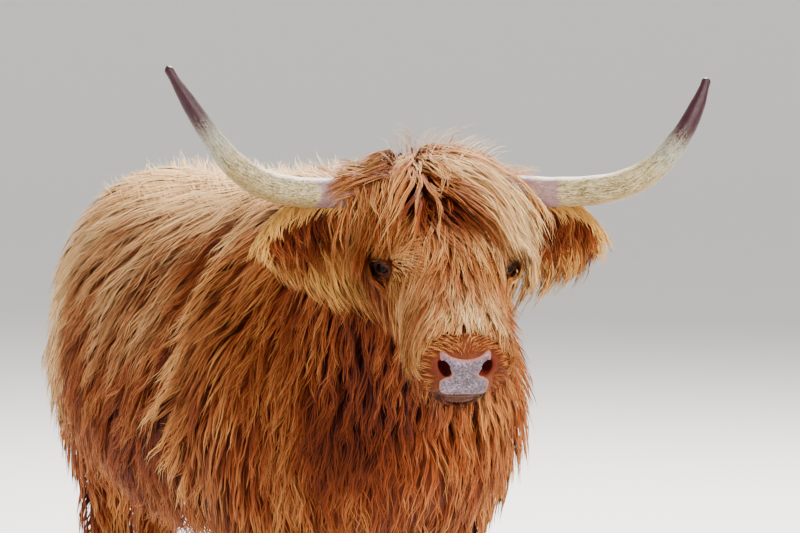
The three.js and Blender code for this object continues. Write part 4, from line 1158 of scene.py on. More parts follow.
def coat_piece(name, kinds, seed, budget, material):
    """All tufts of some kinds as one mesh of about `budget` triangles, with places on the skin's unwrap."""
    usual = sum(kind.plant(seed + 10 * i) for i, kind in enumerate(kinds))
    if not usual:
        raise RuntimeError("no tufts grew on " + name)
    batches = [batch for kind in kinds if (batch := kind.blades(budget / usual))]
    starts = np.cumsum([0] + [len(batch["points"]) for batch in batches])
    points = to_frame(np.concatenate([batch["points"] for batch in batches]))
    corners = np.concatenate([batch["triangles"] + start for batch, start in zip(batches, starts)])
    mesh = bpy.data.meshes.new(name)
    mesh.vertices.add(len(points))
    mesh.vertices.foreach_set("co", points.astype(np.float32).ravel())
    mesh.loops.add(corners.size)
    mesh.loops.foreach_set("vertex_index", corners.astype(np.int32).ravel())
    mesh.polygons.add(len(corners))
    mesh.polygons.foreach_set("loop_start", np.arange(0, corners.size, 3, dtype=np.int32))
    mesh.update(calc_edges=True)
    mesh.shade_smooth()
    numbers = {
        key: np.concatenate([batch[key] for batch in batches]) for key in (*COAT_NUMBERS, "u", "v", "shading")
    }
    mesh.normals_split_custom_set_from_vertices(numbers["shading"].tolist())
    keep_numbers(mesh, **{key: numbers[key] for key in COAT_NUMBERS})
    band = np.repeat(np.arange(len(batches)), [len(batch["points"]) for batch in batches])
    u = 0.01 + 0.97 * numbers["u"] + PATCH * (0.5 + numbers["across"] / 2)
    v = (band + 0.01 + 0.95 * numbers["v"]) / len(batches) + PATCH * numbers["along"]
    places = np.stack([u, v], axis=1)[corners.ravel()]
    mesh.uv_layers.new(name="OFBake").uv.foreach_set("vector", places.astype(np.float32).ravel())
    mesh.materials.append(material)
    return new_object(name, mesh)


def coat_material(name, root, middle, tip, cream):
    """Coarse hair: dark at the root, rust along the strand, golden at the tip; the dark roots are partly
    painted shade deep in the coat, each strand's middle gets a painted highlight, and the cream comes from
    sun-fading and painted light.
    """
    finish = Finish(name, roughness=0.58, specular_ior_level=0.14)
    along, across, tone = (finish.attribute(key) for key in ("along", "across", "tone"))
    sun, grain, gold = (finish.attribute(key) for key in ("sun", "grain", "gold"))
    strand_place = finish.place_from(across * 3.5 + grain * 91, along * 2.5, grain * 37)
    streak = finish.noise(1.0, 2, 0.6, at=strand_place)
    # crown is a painted highlight down the middle of each strand, with painted shade towards its edges
    crown = 1 - across * across
    # darker towards the root: partly the hair's own darker base, partly painted shade deep in the coat
    level = along * 0.4 + tone * 0.62 + (streak - 0.5) * 0.5 + crown * 0.1 - 0.2 + gold * 0.35
    colour = level.colours((0.05, root), (0.38, middle), (0.76, tip), (1.0, cream))
    faded_and_lit_colour = (tone + (streak - 0.5) * 0.8).colours((0.1, tip), (0.75, cream))
    # paler where the sun number says: sun-faded hair and painted light
    faded = (sun * (along * 0.5 + 0.55) * (tone * 0.6 + 0.6)).ramp(0.12, 0.85).mix(colour, faded_and_lit_colour)
    return finish.set(base_color=faded, normal=finish.bump(streak, 0.35, 0.002))


# ---- how the tufts lie

WHORL = (170.0, 6.0)  # along and left of the place that the face hair turns out from
POLL_LEFT = -32.0  # where the forelock parts
HOLLOW = {"place": (126, 11, 10), "wide": 18, "high": 31}  # where the forelock hangs open over the brow
SHOULDER_EDGE = [[542, -29], [688, 35], [777, 45], [908, -34], [1075, -102]]  # height, back
# spots of painted shade and painted light on the coat; the last is the fur's own rust by the nose
SHADES = [  # place, how far it reaches, how much lighter or darker the coat is there
    # painted shadow on the low neck and brisket under the head, and on the neck behind the ear
    ((-125, -500, 745), (110, 150, 120), -0.66),
    ((-150, -520, 1000), (110, 130, 150), -0.1),
    # painted shade on the lower flank
    ((-280, 260, 700), (120, 300, 140), -0.26),
    # painted light on the backlit edge of the chest
    ((135, -600, 760), (60, 150, 250), 0.2),
    # painted shade on the middle of the chest and under the muzzle
    ((13, -640, 690), (90, 110, 80), -0.24),
    ((-67, -740, 880), (80, 110, 44), -0.5),
    # painted shadow between the ear and the cheek
    (on_head(160, -112, -50), (30, 38, 58), -0.36),
    # lighter under the right eye
    (on_head(208, -95, -46), (34, 36, 36), 0.6),
    # painted shadow in the forelock's hollow
    (on_head(*HOLLOW["place"]), (24, 40, 32), -0.5),
    # the fur's own rust by the nose
    (on_head(458, 0, -66), (46, 46, 40), -0.16),
]


def scaled(numbers, direction):
    """A direction times a number for each point."""
    return np.asarray(numbers)[:, None] * direction


def lie_back(points, part):
    """Down the body, and further back the further back it grows."""
    share = np.clip((points[:, 1] + 450) / 450, 0, 1)
    top = ease(points[:, 2], 1040, 1140) * np.sign(points[:, 0]) * (1 - 0.5 * part)
    return scaled(0.42 * share, Y) - Z + scaled(0.9 * top, X)


def lie_down(points, part):
    """Straight down, a little back."""
    return np.tile(0.08 * Y - Z, (len(points), 1))


def lie_rump(points, part):
    """Over the rump and down behind."""
    return scaled(0.35 * ease(-points[:, 1], -1060, -900), Y) - Z + scaled(points[:, 0] / 500, X)


def lie_forelock(points, part):
    """From the poll over the forehead, sweeping to both sides before it falls."""
    left = head_place(points)[:, 1]
    from_parting = left - POLL_LEFT
    rightwards = np.clip(from_parting / 22, 0, 1.25) * (1 - 0.8 * ease(left, 60, 108)) * (1.5 - 1.25 * part)
    leftwards = np.clip(from_parting / 48, -1.2, 0) * (1 - 0.75 * ease(-left, 82, 118)) * (1.6 - 1.6 * part)
    return ALONG_FACE * 0.8 - Z * (0.1 + 0.8 * part) + scaled(rightwards + leftwards, HEAD_LEFT)


def lie_over_horn(points, part):
    """Out over the root of the nearer horn, then down before it."""
    left = head_place(points)[:, 1]
    return scaled(np.sign(left), HEAD_LEFT) + (0.7 - 1.9 * part) * Z + (0.2 + 0.5 * part) * LEVEL_FORWARD


def lie_up(points, part):
    """Loose hairs that stand up from the poll and bend over."""
    left = head_place(points)[:, 1]
    aside = np.clip((left - POLL_LEFT) / 50, -1.2, 1.2) * (0.35 + 0.6 * part)
    return Z * (1.2 - 1.3 * part) + LEVEL_FORWARD * (0.2 + 0.3 * part) + scaled(aside, HEAD_LEFT)


def lie_face(points, part):
    """Out from the whorl between the eyes and down the bridge of the nose to both sides."""
    along, left = head_place(points)[:, :2].T
    down, aside = (along - WHORL[0]) / 70, (left - WHORL[1]) / 60
    down = np.maximum(down, -0.9) * 0.35 + 0.9
    aside = np.clip(aside, -1.5, 1.5) * (1 - 0.25 * ease(along, 230, 360))
    aside = aside * (0.45 + 0.55 * ease(along, 190, 270))
    return scaled(down, ALONG_FACE) + scaled(0.8 * aside, HEAD_LEFT) - (0.15 + 0.5 * part) * Z


def lie_from_eye(points, part):
    """Away from the nearer eye, and down."""
    near = [lengths(points - centre) for centre, _ in EYES.values()]
    centres = np.array([centre for centre, _ in EYES.values()])[np.argmin(near, axis=0)]
    return unit(points - centres) - 0.25 * Z


def lie_cheek(points, part):
    """Down the cheek and a little back."""
    left = head_place(points)[:, 1]
    return -Z + 0.05 * ALONG_FACE + scaled(0.35 * np.sign(left) * (1 - 1.2 * part), HEAD_LEFT)


def lie_muzzle(points, part):
    """Round the muzzle: out from the nose on every side."""
    left, out = head_place(points)[:, 1:].T
    away = unit(scaled(left + 0.01, HEAD_LEFT) + scaled(out + 74, OUT_OF_FACE))
    return away - 0.2 * ALONG_FACE - (0.15 + 0.3 * part) * Z


def lie_lip(points, part):
    """Down over the edge of the upper lip, and a little out from the head."""
    left = head_place(points)[:, 1]
    return scaled(0.4 * np.sign(left) * (1 - part), HEAD_LEFT) + 0.2 * LEVEL_FORWARD - Z


def lie_parting(points, part):
    """Straight down the face from the poll, opening to both sides."""
    left = head_place(points)[:, 1]
    return ALONG_FACE + (0.5 - 1.3 * part) * Z + scaled((left - POLL_LEFT) / 60, HEAD_LEFT)


def lie_on_end(points, part):
    """Up from the back, bending over towards the rump."""
    return np.tile((1.1 - part) * Z + 0.7 * Y, (len(points), 1))


def lie_poll(points, part):
    """Back over the poll and down behind the ears."""
    left = head_place(points)[:, 1]
    return -0.8 * ALONG_FACE - 0.75 * Z + scaled(0.3 * np.clip(left / 70, -1, 1), HEAD_LEFT)


def lie_neck(points, part):
    """Down the neck from its crest, a little back."""
    aside = np.clip(points[:, 0] / 90, -1, 1) * ease(points[:, 2], 1060, 1200)
    return 0.22 * Y - Z + scaled(0.8 * aside * (1 - 0.6 * part), X)


def ear_lie(side, outward, fall, later, opening=0.0, back=0.0):
    """Out along an ear, then down and back towards the head."""
    _, ahead, line = ear_axes(side)
    return lambda points, part: np.tile(
        line * (outward - back * part) + ahead * opening - Z * (fall + later * part), (len(points), 1)
    )


def off_the_nose(points):
    """Clear of the nose pad, the nostrils and the line of the mouth."""
    along, left, out = head_place(points).T
    pad = (along > 425) & (np.abs(left) < 47) & (out > -74) & (out < -31)
    pad |= (along > 425) & (np.abs(left) < 46) & (out > -119) & (out < -60)
    mouth = (np.abs(out - mouth_line(left)) < 5.5) & (along > 345)
    return ~(pad | mouth | (from_nostrils(points) < 22))


def on_upper_lip(points):
    """Clear of the nose pad, and not under the mouth."""
    along, out = head_place(points)[:, ::2].T
    return off_the_nose(points) & ((out > MOUTH["out"] - 1) | (along < 360))


def off_the_ears(points):
    """Clear of the roots of ears and horns."""
    good = np.ones(len(points), bool)
    for side in (-1, 1):
        for place in ((44, 118, -68), (22, 110, -22)):
            good &= lengths(points - on_side(place, side)) > 44
    return good


def shorter_near_nose(points):
    """Face hair is longest between the eyes and ends in an arc above the nose."""
    along, left = head_place(points)[:, :2].T
    reach = 416 + 0.008 * left**2
    return np.clip((reach - along) / 125, 0.25, 1.0)


def shorter_on_lips(points):
    """The cheeks' hair is short beside the muzzle."""
    return np.clip((408 - head_place(points)[:, 0]) / 85, 0.3, 1)


def longer_off_nose(points):
    """The muzzle's short fur is longer further from the nose."""
    left, out = head_place(points)[:, 1:].T
    return 0.75 + 0.8 * ease(np.hypot(left, out + 74), 40, 85)


def longer_by_head(side):
    """The fringe of an ear is longest near the head."""
    line, root = ear_axes(side)[2], on_side(EAR_ROOT, side)
    return lambda points: 1.75 - 1.3 * np.clip((points - root) @ line / 190, 0, 1)


def behind_shoulder(points):
    """How far back of the shoulder's rear edge, where the hair heaps up, the points of the flanks are."""
    off = points[:, 1] - np.interp(points[:, 2], *np.transpose(SHOULDER_EDGE))
    return np.where((np.abs(points[:, 0]) > 130) & (points[:, 2] > 560) & (points[:, 2] < 1090), off, 1e4)


def shaded(points):
    """Painted shade and light on the coat: darker in its hollows and folds and where the head shades the neck
    and chest, lighter on the shoulder's rim and the backlit edge of the chest, and the fur's own rust by the
    nose.
    """
    behind = behind_shoulder(points)
    # edge is a painted highlight on the shoulder's rim where the hair heaps up, and painted shade in the
    # valley behind it
    edge = 0.62 * bell(behind, -2, 27) - 0.46 * bell(behind, 54, 23)
    return edge + sum(
        change * np.exp(-(((points - place) / radii) ** 2).sum(axis=1)) for place, radii, change in SHADES
    )


def shorter_near_head(points):
    """The neck's hair is shorter behind the head."""
    return 0.5 + 0.5 * ease(points[:, 1], -560, -400) * ease(-points[:, 2], -1250, -1000)


def row_at(rows, height):
    """The row number of a leg at a height."""
    return float(np.interp(height, [row[0] for row in rows], np.arange(len(rows))))


def both(rows, angles, *sizes, **more):
    """The same kind of tuft on both sides of the skull. The angles are those of the left side."""
    low, high = angles
    return [Tufts(SKULL, rows, turned, *sizes, **more) for turned in (angles, (180 - high, 180 - low))]


def ear_kinds(name):
    """The tufts of one ear. The lie of each kind is given as the numbers that ear_lie takes."""
    side, pale = SIDES[name], 0.74

    def tufts(rows, angles, lie, *sizes, **more):
        """One kind of tuft on this ear."""
        return Tufts(EARS[name], rows, angles, ear_lie(side, *lie), *sizes, **more)

    return [
        tufts((0.7, 5.9), (118, 215), (0.6, 0.4, 1.5, 0.2, 2.2), 10, 9, 114, 1.8, rings=6, held=0.12,
              wavelength=90, near=8, gold=0.4, pale=pale, lock=24, contrast=0.16, stray=0.3, soft=0.3,
              longer=longer_by_head(side)),
        tufts((0.4, 5.95), (215, 400), (0.8, 0.4, 0.8), 10, 6, 50, 2.0, near=6, over=2, held=0.5,
              gold=0.3, pale=pale + 0.1, wave=2),
        tufts((2.0, 5.98), (-40, 62), (1.0, 0.1, 1.5, 0.3, 0.8), 9, 7, 58, 1.5, near=8, held=0.0,
              gold=0.45, pale=pale + 0.2, wave=3, stray=0.4, lock=20, soft=0.3),
        tufts((0.7, 4.3), (46, 108), (0.5, 0.6, 1.1, 0.3, 1.4), 10, 8, 84, 1.7, near=45, held=0.3,
              tone=-0.22, contrast=0.26, lock=26, gather=0.7, rings=6),
        tufts((0.7, 5.8), (96, 150), (0.5, 0.5, 1.3, 0.3, 1.8), 10, 7, 84, 1.7, near=45, held=0.2, wave=4,
              tone=-0.04, gold=0.25, pale=pale * 0.5, contrast=0.24, lock=26, gather=0.6),
        tufts((4.3, 5.98), (50, 130), (0.9, 0.3, 1.6, 0.4, 1.0), 8, 7, 50, 1.5, near=45, held=0.1, wave=4,
              gold=0.4, pale=pale, stray=0.4, lock=20),
    ]


def coat_kinds(apart):
    """Each piece of the coat: the thousands of triangles that it may take, and its kinds of tuft.

    The trunk's tufts grow this far apart, in millimetres.
    """
    kinds = {}
    body = dict(wave=9, wavelength=100, over=5, lock=80, gather=0.42, clump=0.42, stray=0.3, loose=3,
                contrast=0.08)

    def trunk(rows, angles, way, length=158, held=1.0):
        """Tufts of the trunk."""
        return Tufts(TRUNK, rows, angles, way, apart, 8, length, 3.0, held=held, **body)

    kinds["coat_back"] = 120, [
        trunk((1.2, 11.4), (38, 142), lie_back, 150),
        # the fuzz along the top of the back is paler as painted backlight
        Tufts(TRUNK, (1.6, 11.2), (50, 130), lie_on_end, 24, 4, 70, 1.2, rings=4, wave=4, wavelength=60,
              over=4, held=0.0, stray=0.6, gather=0, clump=0.0, pale=0.4, loose=8),
    ]
    kinds["coat_flank_right"] = 156, [trunk((1.0, 11.2), (142, 226), lie_back, held=0.85)]
    kinds["coat_flank_left"] = 86, [trunk((1.0, 11.2), (-46, 38), lie_back, held=0.85)]
    kinds["coat_belly"] = 60, [
        trunk((1.0, 11.0), (226, 314), lie_back, 140, held=0.5),
        trunk((11.0, 11.95), (-60, 240), lie_rump, 150),
        trunk((0.1, 1.2), (150, 390), lie_down, 150, held=0.6),
    ]

    # tone makes the neck and chest hair darker as painted shade under the head
    neck = dict(wave=8, wavelength=100, over=6, lock=80, gather=0.48, longer=shorter_near_head, tone=-0.1,
                loose=2.5)
    kinds["coat_neck"] = 110, [Tufts(NECK, (0.1, 4.8), (-20, 200), lie_neck, 23, 9, 170, 3.4, **neck)]
    kinds["coat_chest"] = 96, [
        Tufts(NECK, (0.1, 4.8), (200, 340), lie_neck, 24, 9, 165, 3.5, held=0.6, **neck),
        Tufts(TRUNK, (0.2, 2.6), (-20, 200), lie_neck, 26, 8, 160, 3.5, **neck),
    ]

    top = dict(part_at_eyes=True, lock=27, gather=0.75, off_eye=27, contrast=0.22)
    over_horn = {**top, **dict(rings=6, wave=4, wavelength=90, start=0.5, lift=0.5, held=0.45, gold=0.4,
                               loose=4, clump=0.4, gather=0.5)}
    kinds["coat_forelock"] = 170, [
        Tufts(SKULL, (8.3, 11.6), (32, 148), lie_forelock, 10, 9, 225, 2.1, rings=6, wavelength=130,
              over=24, start=0.3, lift=0.4, held=0.8, stray=0.3, gold=0.32, pale=0.06, loose=5, clump=0.62,
              hollow=True, **top),
        Tufts(SKULL, (9.6, 11.9), (66, 122), lie_parting, 9, 7, 95, 1.9, wavelength=90, over=16,
              start=0.5, lift=0.5, held=0.5, stray=0.45, gold=0.3, loose=4, pale=0.15, hollow=True, **top),
        # the under layer is darker as painted shade deep in the forelock
        Tufts(SKULL, (7.2, 9.4), (35, 145), lie_forelock, 12, 7, 140, 2.0, wave=4, wavelength=80, over=6,
              held=0.9, stray=0.28, tone=-0.26, loose=2, **top),
        Tufts(SKULL, (8.8, 10.6), (36, 62), lie_over_horn, 10, 6, 66, 1.9, over=20, **over_horn),
        Tufts(SKULL, (8.8, 10.8), (116, 150), lie_over_horn, 7, 6, 108, 1.9, over=44, pale=0.25,
              **over_horn),
        Tufts(SKULL, (9.4, 11.5), (40, 140), lie_up, 16, 2, 85, 1.2, wave=4, wavelength=70, over=18,
              start=0.6, held=0.0, stray=0.8, gold=0.5, pale=0.4, loose=7, clump=0.0, **{**top, "gather": 0}),
    ]
    face = dict(keep=off_the_nose, near=40, part_at_eyes=True, off_eye=21, contrast=0.19)
    kinds["coat_face"] = 124, [
        Tufts(SKULL, (2.7, 7.8), (4, 176), lie_face, 10, 9, 140, 1.7, over=3, gold=0.24, wave=3,
              wavelength=90, lock=22, gather=0.6, clump=0.6, longer=shorter_near_nose, **face),
    ]
    cheek = dict(held=0.6, over=12, wave=4, near=40, lock=36, part_at_eyes=True, off_eye=22, contrast=0.16,
                 longer=shorter_on_lips, keep=off_the_nose)
    kinds["coat_cheeks"] = 102, [
        *both((2.6, 8.6), (-70, 12), lie_cheek, 13, 9, 105, 2.2, gold=0.08, **cheek),
        *both((2.2, 3.4), (-50, 22), lie_cheek, 12, 8, 66, 1.9, gold=0.2, **cheek),
        Tufts(SKULL, (4.4, 9.0), (250, 290), lie_down, 18, 7, 90, 2.6, held=0.4, near=6),
        Tufts(SKULL, (8.8, 11.9), (150, 390), lie_poll, 18, 8, 95, 2.8, near=6, over=4,
              keep=off_the_ears),
        Tufts(CHIN, (1.9, 4.6), (185, 355), lie_down, 12, 7, 75, 2.0, held=0.35, wave=4, near=6,
              keep=off_the_nose),
    ]
    short = dict(rings=3, wave=0.4, wavelength=40, near=40, start=0.4, clump=0.3, lock=15, gather=0.2,
                 loose=0.3, soft=0.7, contrast=0.14, sunk=0.6)
    close = {**short, "sunk": 0.15, "pale": -0.15, "clump": 0.1, "gather": 0}
    lip = dict(keep=on_upper_lip, over=9, held=0.3, wave=3, wavelength=60, lock=24, near=40, gold=0.25,
               loose=1, stray=0.25)
    kinds["coat_muzzle"] = 110, [
        Tufts(SKULL, (0.25, 3.4), (0, 360), lie_muzzle, 5, 8, 15, 1.1, over=1.5, keep=on_upper_lip,
              longer=longer_off_nose, gold=0.4, **short),
        *both((0.7, 3.2), (-38, -2), lie_lip, 9, 8, 44, 1.3, **lip),
        # the chin's fur is darker as painted shadow under the mouth
        Tufts(CHIN, (0.1, 2.2), (170, 370), lie_down, 6, 8, 24, 1.2, over=1, keep=off_the_nose, tone=-0.4,
              **short),
        *both((5.4, 7.7), (-8, 52), lie_from_eye, 4, 8, 40, 1.1, off_eye=17, over=2, **close),
    ]
    for name in SIDES:
        kinds["coat_ear_" + name] = 78, ear_kinds(name)

    for pair, rows, cut in (("front", FRONT_LEG_ROWS, 325), ("hind", HIND_LEG_ROWS, 372)):
        upper, lower = [], []
        for name in (pair + "_right", pair + "_left"):
            form = LEG_FORMS[name]
            upper.append(Tufts(form, (row_at(rows, cut), len(rows) - 1.4), (0, 360), lie_down, 24, 7, 125,
                               4.6, held=0.75, near=8, wave=4))
            lower.append(Tufts(form, (row_at(rows, 150), row_at(rows, cut)), (0, 360), lie_down, 14, 5,
                               52, 2.8, rings=4, wave=2, near=7, tone=-0.06, lock=40))
            lower.append(Tufts(form, (0.15, row_at(rows, 150)), (0, 360), lie_down, 11, 5, 30, 2.2,
                               rings=3, wave=1, near=7, held=0.4, tone=-0.08, lock=30))
        kinds["coat_upper_legs_" + pair] = 56, upper
        kinds["coat_lower_legs_" + pair] = 34, lower
    kinds["coat_tail"] = 32, [
        Tufts(TAIL, (0.3, 4.4), (0, 360), lie_down, 14, 8, 190, 3.4, rings=6, held=0.25, wave=7, near=8,
              gold=0.1),
        Tufts(TAIL, (4.2, 8.9), (0, 360), lie_down, 15, 6, 75, 3.2, held=0.8, near=8, wave=3),
    ]
    return kinds


# ---- shapes that follow a rule

def node_tree(name, inputs):
    """An empty geometry tree with these named inputs: name, kind of socket, default."""
    tree = bpy.data.node_groups.new(name, "GeometryNodeTree")
    tree.interface.new_socket("Geometry", in_out="INPUT", socket_type="NodeSocketGeometry")
    for label, kind, default in inputs:
        socket = tree.interface.new_socket(label, in_out="INPUT", socket_type="NodeSocket" + kind)
        if default is not None:
            socket.default_value = default
    tree.interface.new_socket("Geometry", in_out="OUTPUT", socket_type="NodeSocketGeometry")
    start = tree.nodes.new("NodeGroupInput")
    sockets = {socket.name: Socket(tree, socket) for socket in start.outputs if socket.name}
    return tree, sockets


def end_tree(tree, geometry, material):
    """Ends a geometry tree in Realize Instances and Set Material."""
    solid = geometry.add("GeometryNodeRealizeInstances", {}, {"Geometry": geometry})
    painted = solid.add("GeometryNodeSetMaterial", {}, {"Geometry": solid, "Material": material})
    end = tree.nodes.new("NodeGroupOutput")
    tree.links.new(painted.output, end.inputs["Geometry"])


def run_tree(target, tree, values):
    """Runs a geometry tree on an object and turns the result into its plain mesh."""
    modifier = target.modifiers.new(tree.name, "NODES")
    modifier.node_group = tree
    for item in tree.interface.items_tree:
        if item.in_out == "INPUT" and item.name in values:
            modifier[item.identifier] = values[item.name]
    return apply_modifier(target, modifier)


def path_object(name, paths, **numbers):
    """Open lines as an edge mesh, each point with its numbers."""
    mesh = bpy.data.meshes.new(name)
    edges, start = [], 0
    for path in paths:
        edges += [(start + k, start + k + 1) for k in range(len(path) - 1)]
        start += len(path)
    mesh.from_pydata(to_frame(np.concatenate(paths)).tolist(), edges, [])
    keep_numbers(mesh, **{key: np.concatenate(values) for key, values in numbers.items()})
    return new_object(name, mesh)


def tube_along(path, sides):
    """A closed tube along each line, as thick as the line's points say."""
    thick = path.add("GeometryNodeInputNamedAttribute", {"data_type": "FLOAT"}, {"Name": "thick"})
    curve = path.add("GeometryNodeMeshToCurve", {}, {"Mesh": path})
    curve = path.add("GeometryNodeSetCurveRadius", {}, {"Curve": curve, "Radius": thick})
    round_it = {"Resolution": sides, "Radius": 1.0}
    ring = path.add("GeometryNodeCurvePrimitiveCircle", {"mode": "RADIUS"}, round_it)
    tube = path.add("GeometryNodeCurveToMesh", {}, {"Curve": curve, "Profile Curve": ring, "Fill Caps": True})
    scale = tube.output.node.inputs.get("Scale")
    if scale is not None:
        path.tree.links.new(thick.output, scale)
    return tube


def horn_tree():
    """A horn: a tube along the path with low growth rings and a rough base."""
    tree, given = node_tree("Horn", [
        ("Sides", "Int", 48), ("Ring Depth", "Float", 0.0006), ("Ring Count", "Float", 60.0),
        ("Roughness", "Float", 0.0008), ("Seed", "Float", 3.0), ("Material", "Material", None),
    ])
    path = given["Geometry"]
    along = path.add("GeometryNodeInputNamedAttribute", {"data_type": "FLOAT"}, {"Name": "along"})
    tube = tube_along(path, given["Sides"])
    place = path.add("GeometryNodeInputPosition")
    rough = path.add("ShaderNodeTexNoise", {"noise_dimensions": "4D"}, {
        "Vector": place, "W": given["Seed"], "Scale": 38.0, "Detail": 4.0,
    })
    bands = (along * given["Ring Count"] + rough * 3.0).sin() * (1 - along.ramp(0.25, 0.6))
    height = bands * given["Ring Depth"] + (rough - 0.5) * given["Roughness"] * 2
    normal = path.add("GeometryNodeInputNormal")
    push = path.add("ShaderNodeVectorMath", {"operation": "SCALE"}, {0: normal, "Scale": height})
    tube = path.add("GeometryNodeSetPosition", {}, {"Geometry": tube, "Offset": push})
    tube = path.add("GeometryNodeSetShadeSmooth", {}, {0: tube})
    end_tree(tree, tube, given["Material"])
    return tree


def bristle_tree():
    """Thin tapered bristles along the paths: lashes and whiskers."""
    tree, given = node_tree("Bristles", [("Sides", "Int", 4), ("Material", "Material", None)])
    path = given["Geometry"]
    tube = path.add("GeometryNodeSetShadeSmooth", {}, {0: tube_along(path, given["Sides"])})
    end_tree(tree, tube, given["Material"])
    return tree


def horn_material(name, pale, tip, base):
    """Horn: ivory with grey streaks and specks, pinkish at the base and dark at the tip, and olive-brown
    underneath as painted shade.
    """
    finish = Finish(name, roughness=0.45, specular_ior_level=0.3)
    along, under = finish.attribute("along"), finish.attribute("under")
    fibre_place = finish.place_from(finish.attribute("ahead"), finish.attribute("over"), along * 3.2)
    fibres, cloud = finish.noise(11, 5, 0.75, 0.5, at=fibre_place), finish.noise(30, 3)
    specks = finish.noise(480, 2, 0.6).ramp(0.57, 0.68)
    body = (fibres * 0.85 + cloud * 0.15).colours(
        (0.38, rgb(66, 50, 22)), (0.47, rgb(140, 122, 80)), (0.6, pale),
    )
    # under: the downward side is painted olive-brown as shade
    body = (under * 0.75).mix(body, fibres.colours((0.35, rgb(92, 66, 22)), (0.65, rgb(180, 146, 78))))
    body = (specks * 0.6).mix(body, rgb(78, 60, 44))
    by_hair = fibres.colours((0.34, rgb(108, 78, 74)), (0.62, base))
    body = ((1 - (along + (cloud - 0.5) * 0.03).ramp(0.29, 0.315)) * 0.9).mix(body, by_hair)
    grey = along.ramp(0.6, 0.72) * 0.55
    body = grey.mix(body, fibres.colours((0.36, rgb(70, 74, 76)), (0.6, rgb(176, 182, 176))))
    dark = (along + (fibres - 0.5) * 0.5).ramp(0.735, 0.79)
    colour = dark.mix(body, fibres.colours((0.35, tip), (0.75, rgb(78, 30, 44))))
    rough = specks * 0.12 + 0.42 - dark * 0.04
    return finish.set(base_color=colour, roughness=rough, normal=finish.bump(fibres, 0.3, 0.003))


def hoof_material(colour):
    """Hoof horn: dark with fine rings round it."""
    finish = Finish("cow_hoof", roughness=0.5)
    split = finish.start.add("ShaderNodeSeparateXYZ", {}, {"Vector": finish.place}, "Z")
    wander = finish.noise(40, 3)
    rings = (split * 900 + wander * 5).sin() * 0.5 + 0.5
    grain = finish.noise(300, 3)
    shade = (rings * 0.3 + grain * 0.7).colours(
        (0.2, rgb(24, 19, 16)), (0.55, colour), (0.9, rgb(104, 90, 74)),
    )
    normal = finish.bump(rings + grain, 0.35, 0.002)
    return finish.set(base_color=shade, roughness=grain * 0.25 + 0.38, normal=normal)


def eye_material(colour):
    """A wet dark eye: brown iris with a wide level pupil, darker towards its rim."""
    finish = Finish("cow_eye", roughness=0.14, specular_ior_level=0.1)
    across, tall = finish.attribute("wide"), finish.attribute("tall")
    off = (across**2 + tall**2) ** 0.5
    turn = finish.start.math("ARCTAN2", tall, across)
    rays = finish.noise(9, 3, at=finish.place_from(turn, off * 0.6, 0.0))
    iris = rays.colours((0.3, rgb(8, 3, 2)), (0.7, colour))
    pupil = 1 - (((across / 0.5) ** 2 + (tall / 0.24) ** 2) ** 0.5).ramp(0.85, 1.05)
    white = off.ramp(0.82, 0.9)
    shade = pupil.mix(white.mix(iris, rgb(16, 7, 5)), rgb(2, 2, 4))
    return finish.set(base_color=shade)


def nose_material(colour):
    """Moist pebbled skin, lilac grey with dark specks, darker in the nostrils as painted shade over their
    reddish skin.
    """
    finish = Finish("cow_nose", roughness=0.42, coat_roughness=0.25)
    pebbles = finish.start.add("ShaderNodeTexVoronoi", {"feature": "SMOOTH_F1"}, {
        "Vector": finish.place, "Scale": 320.0, "Smoothness": 0.4,
    }, "Distance")
    cloud, specks = finish.noise(60, 4), finish.noise(270, 2).ramp(0.47, 0.55)
    body = cloud.colours((0.3, rgb(82, 64, 82)), (0.5, colour), (0.72, rgb(160, 138, 162)))
    body = (specks * (finish.attribute("middle") * 0.5 + 0.46)).mix(body, rgb(12, 6, 10))
    body = (pebbles.ramp(0.4, 0.8) * 0.4).mix(body, rgb(96, 70, 80))
    body = finish.attribute("edge").mix(body, rgb(150, 92, 84))
    # inside: the nostrils painted dark red as shade over their reddish skin
    shade = finish.attribute("inside").mix(body, rgb(78, 14, 12))
    return finish.set(
        base_color=shade, roughness=cloud * 0.2 + 0.32, normal=finish.bump(1 - pebbles, 0.6, 0.0025),
        coat_weight=(1 - finish.attribute("inside")) * 0.12,
    )


def bristle_radii(part):
    """The radii of a bristle, in metres, at parts of its length."""
    return 0.3 * (1.05 - part[:, 0]) / 1000


def bristle_material():
    """Lashes and whiskers."""
    finish = Finish("cow_bristles", roughness=0.4)
    shade = finish.noise(60, 2).colours((0.4, rgb(50, 24, 12)), (0.7, rgb(176, 136, 96)))
    return finish.set(base_color=shade)


# ---- sizes and colours to change

def colour_property(name, description, default):
    """A colour that the user may change."""
    return bpy.props.FloatVectorProperty(
        name=name, description=description, default=default, subtype="COLOR", size=4, min=0, max=1,
    )


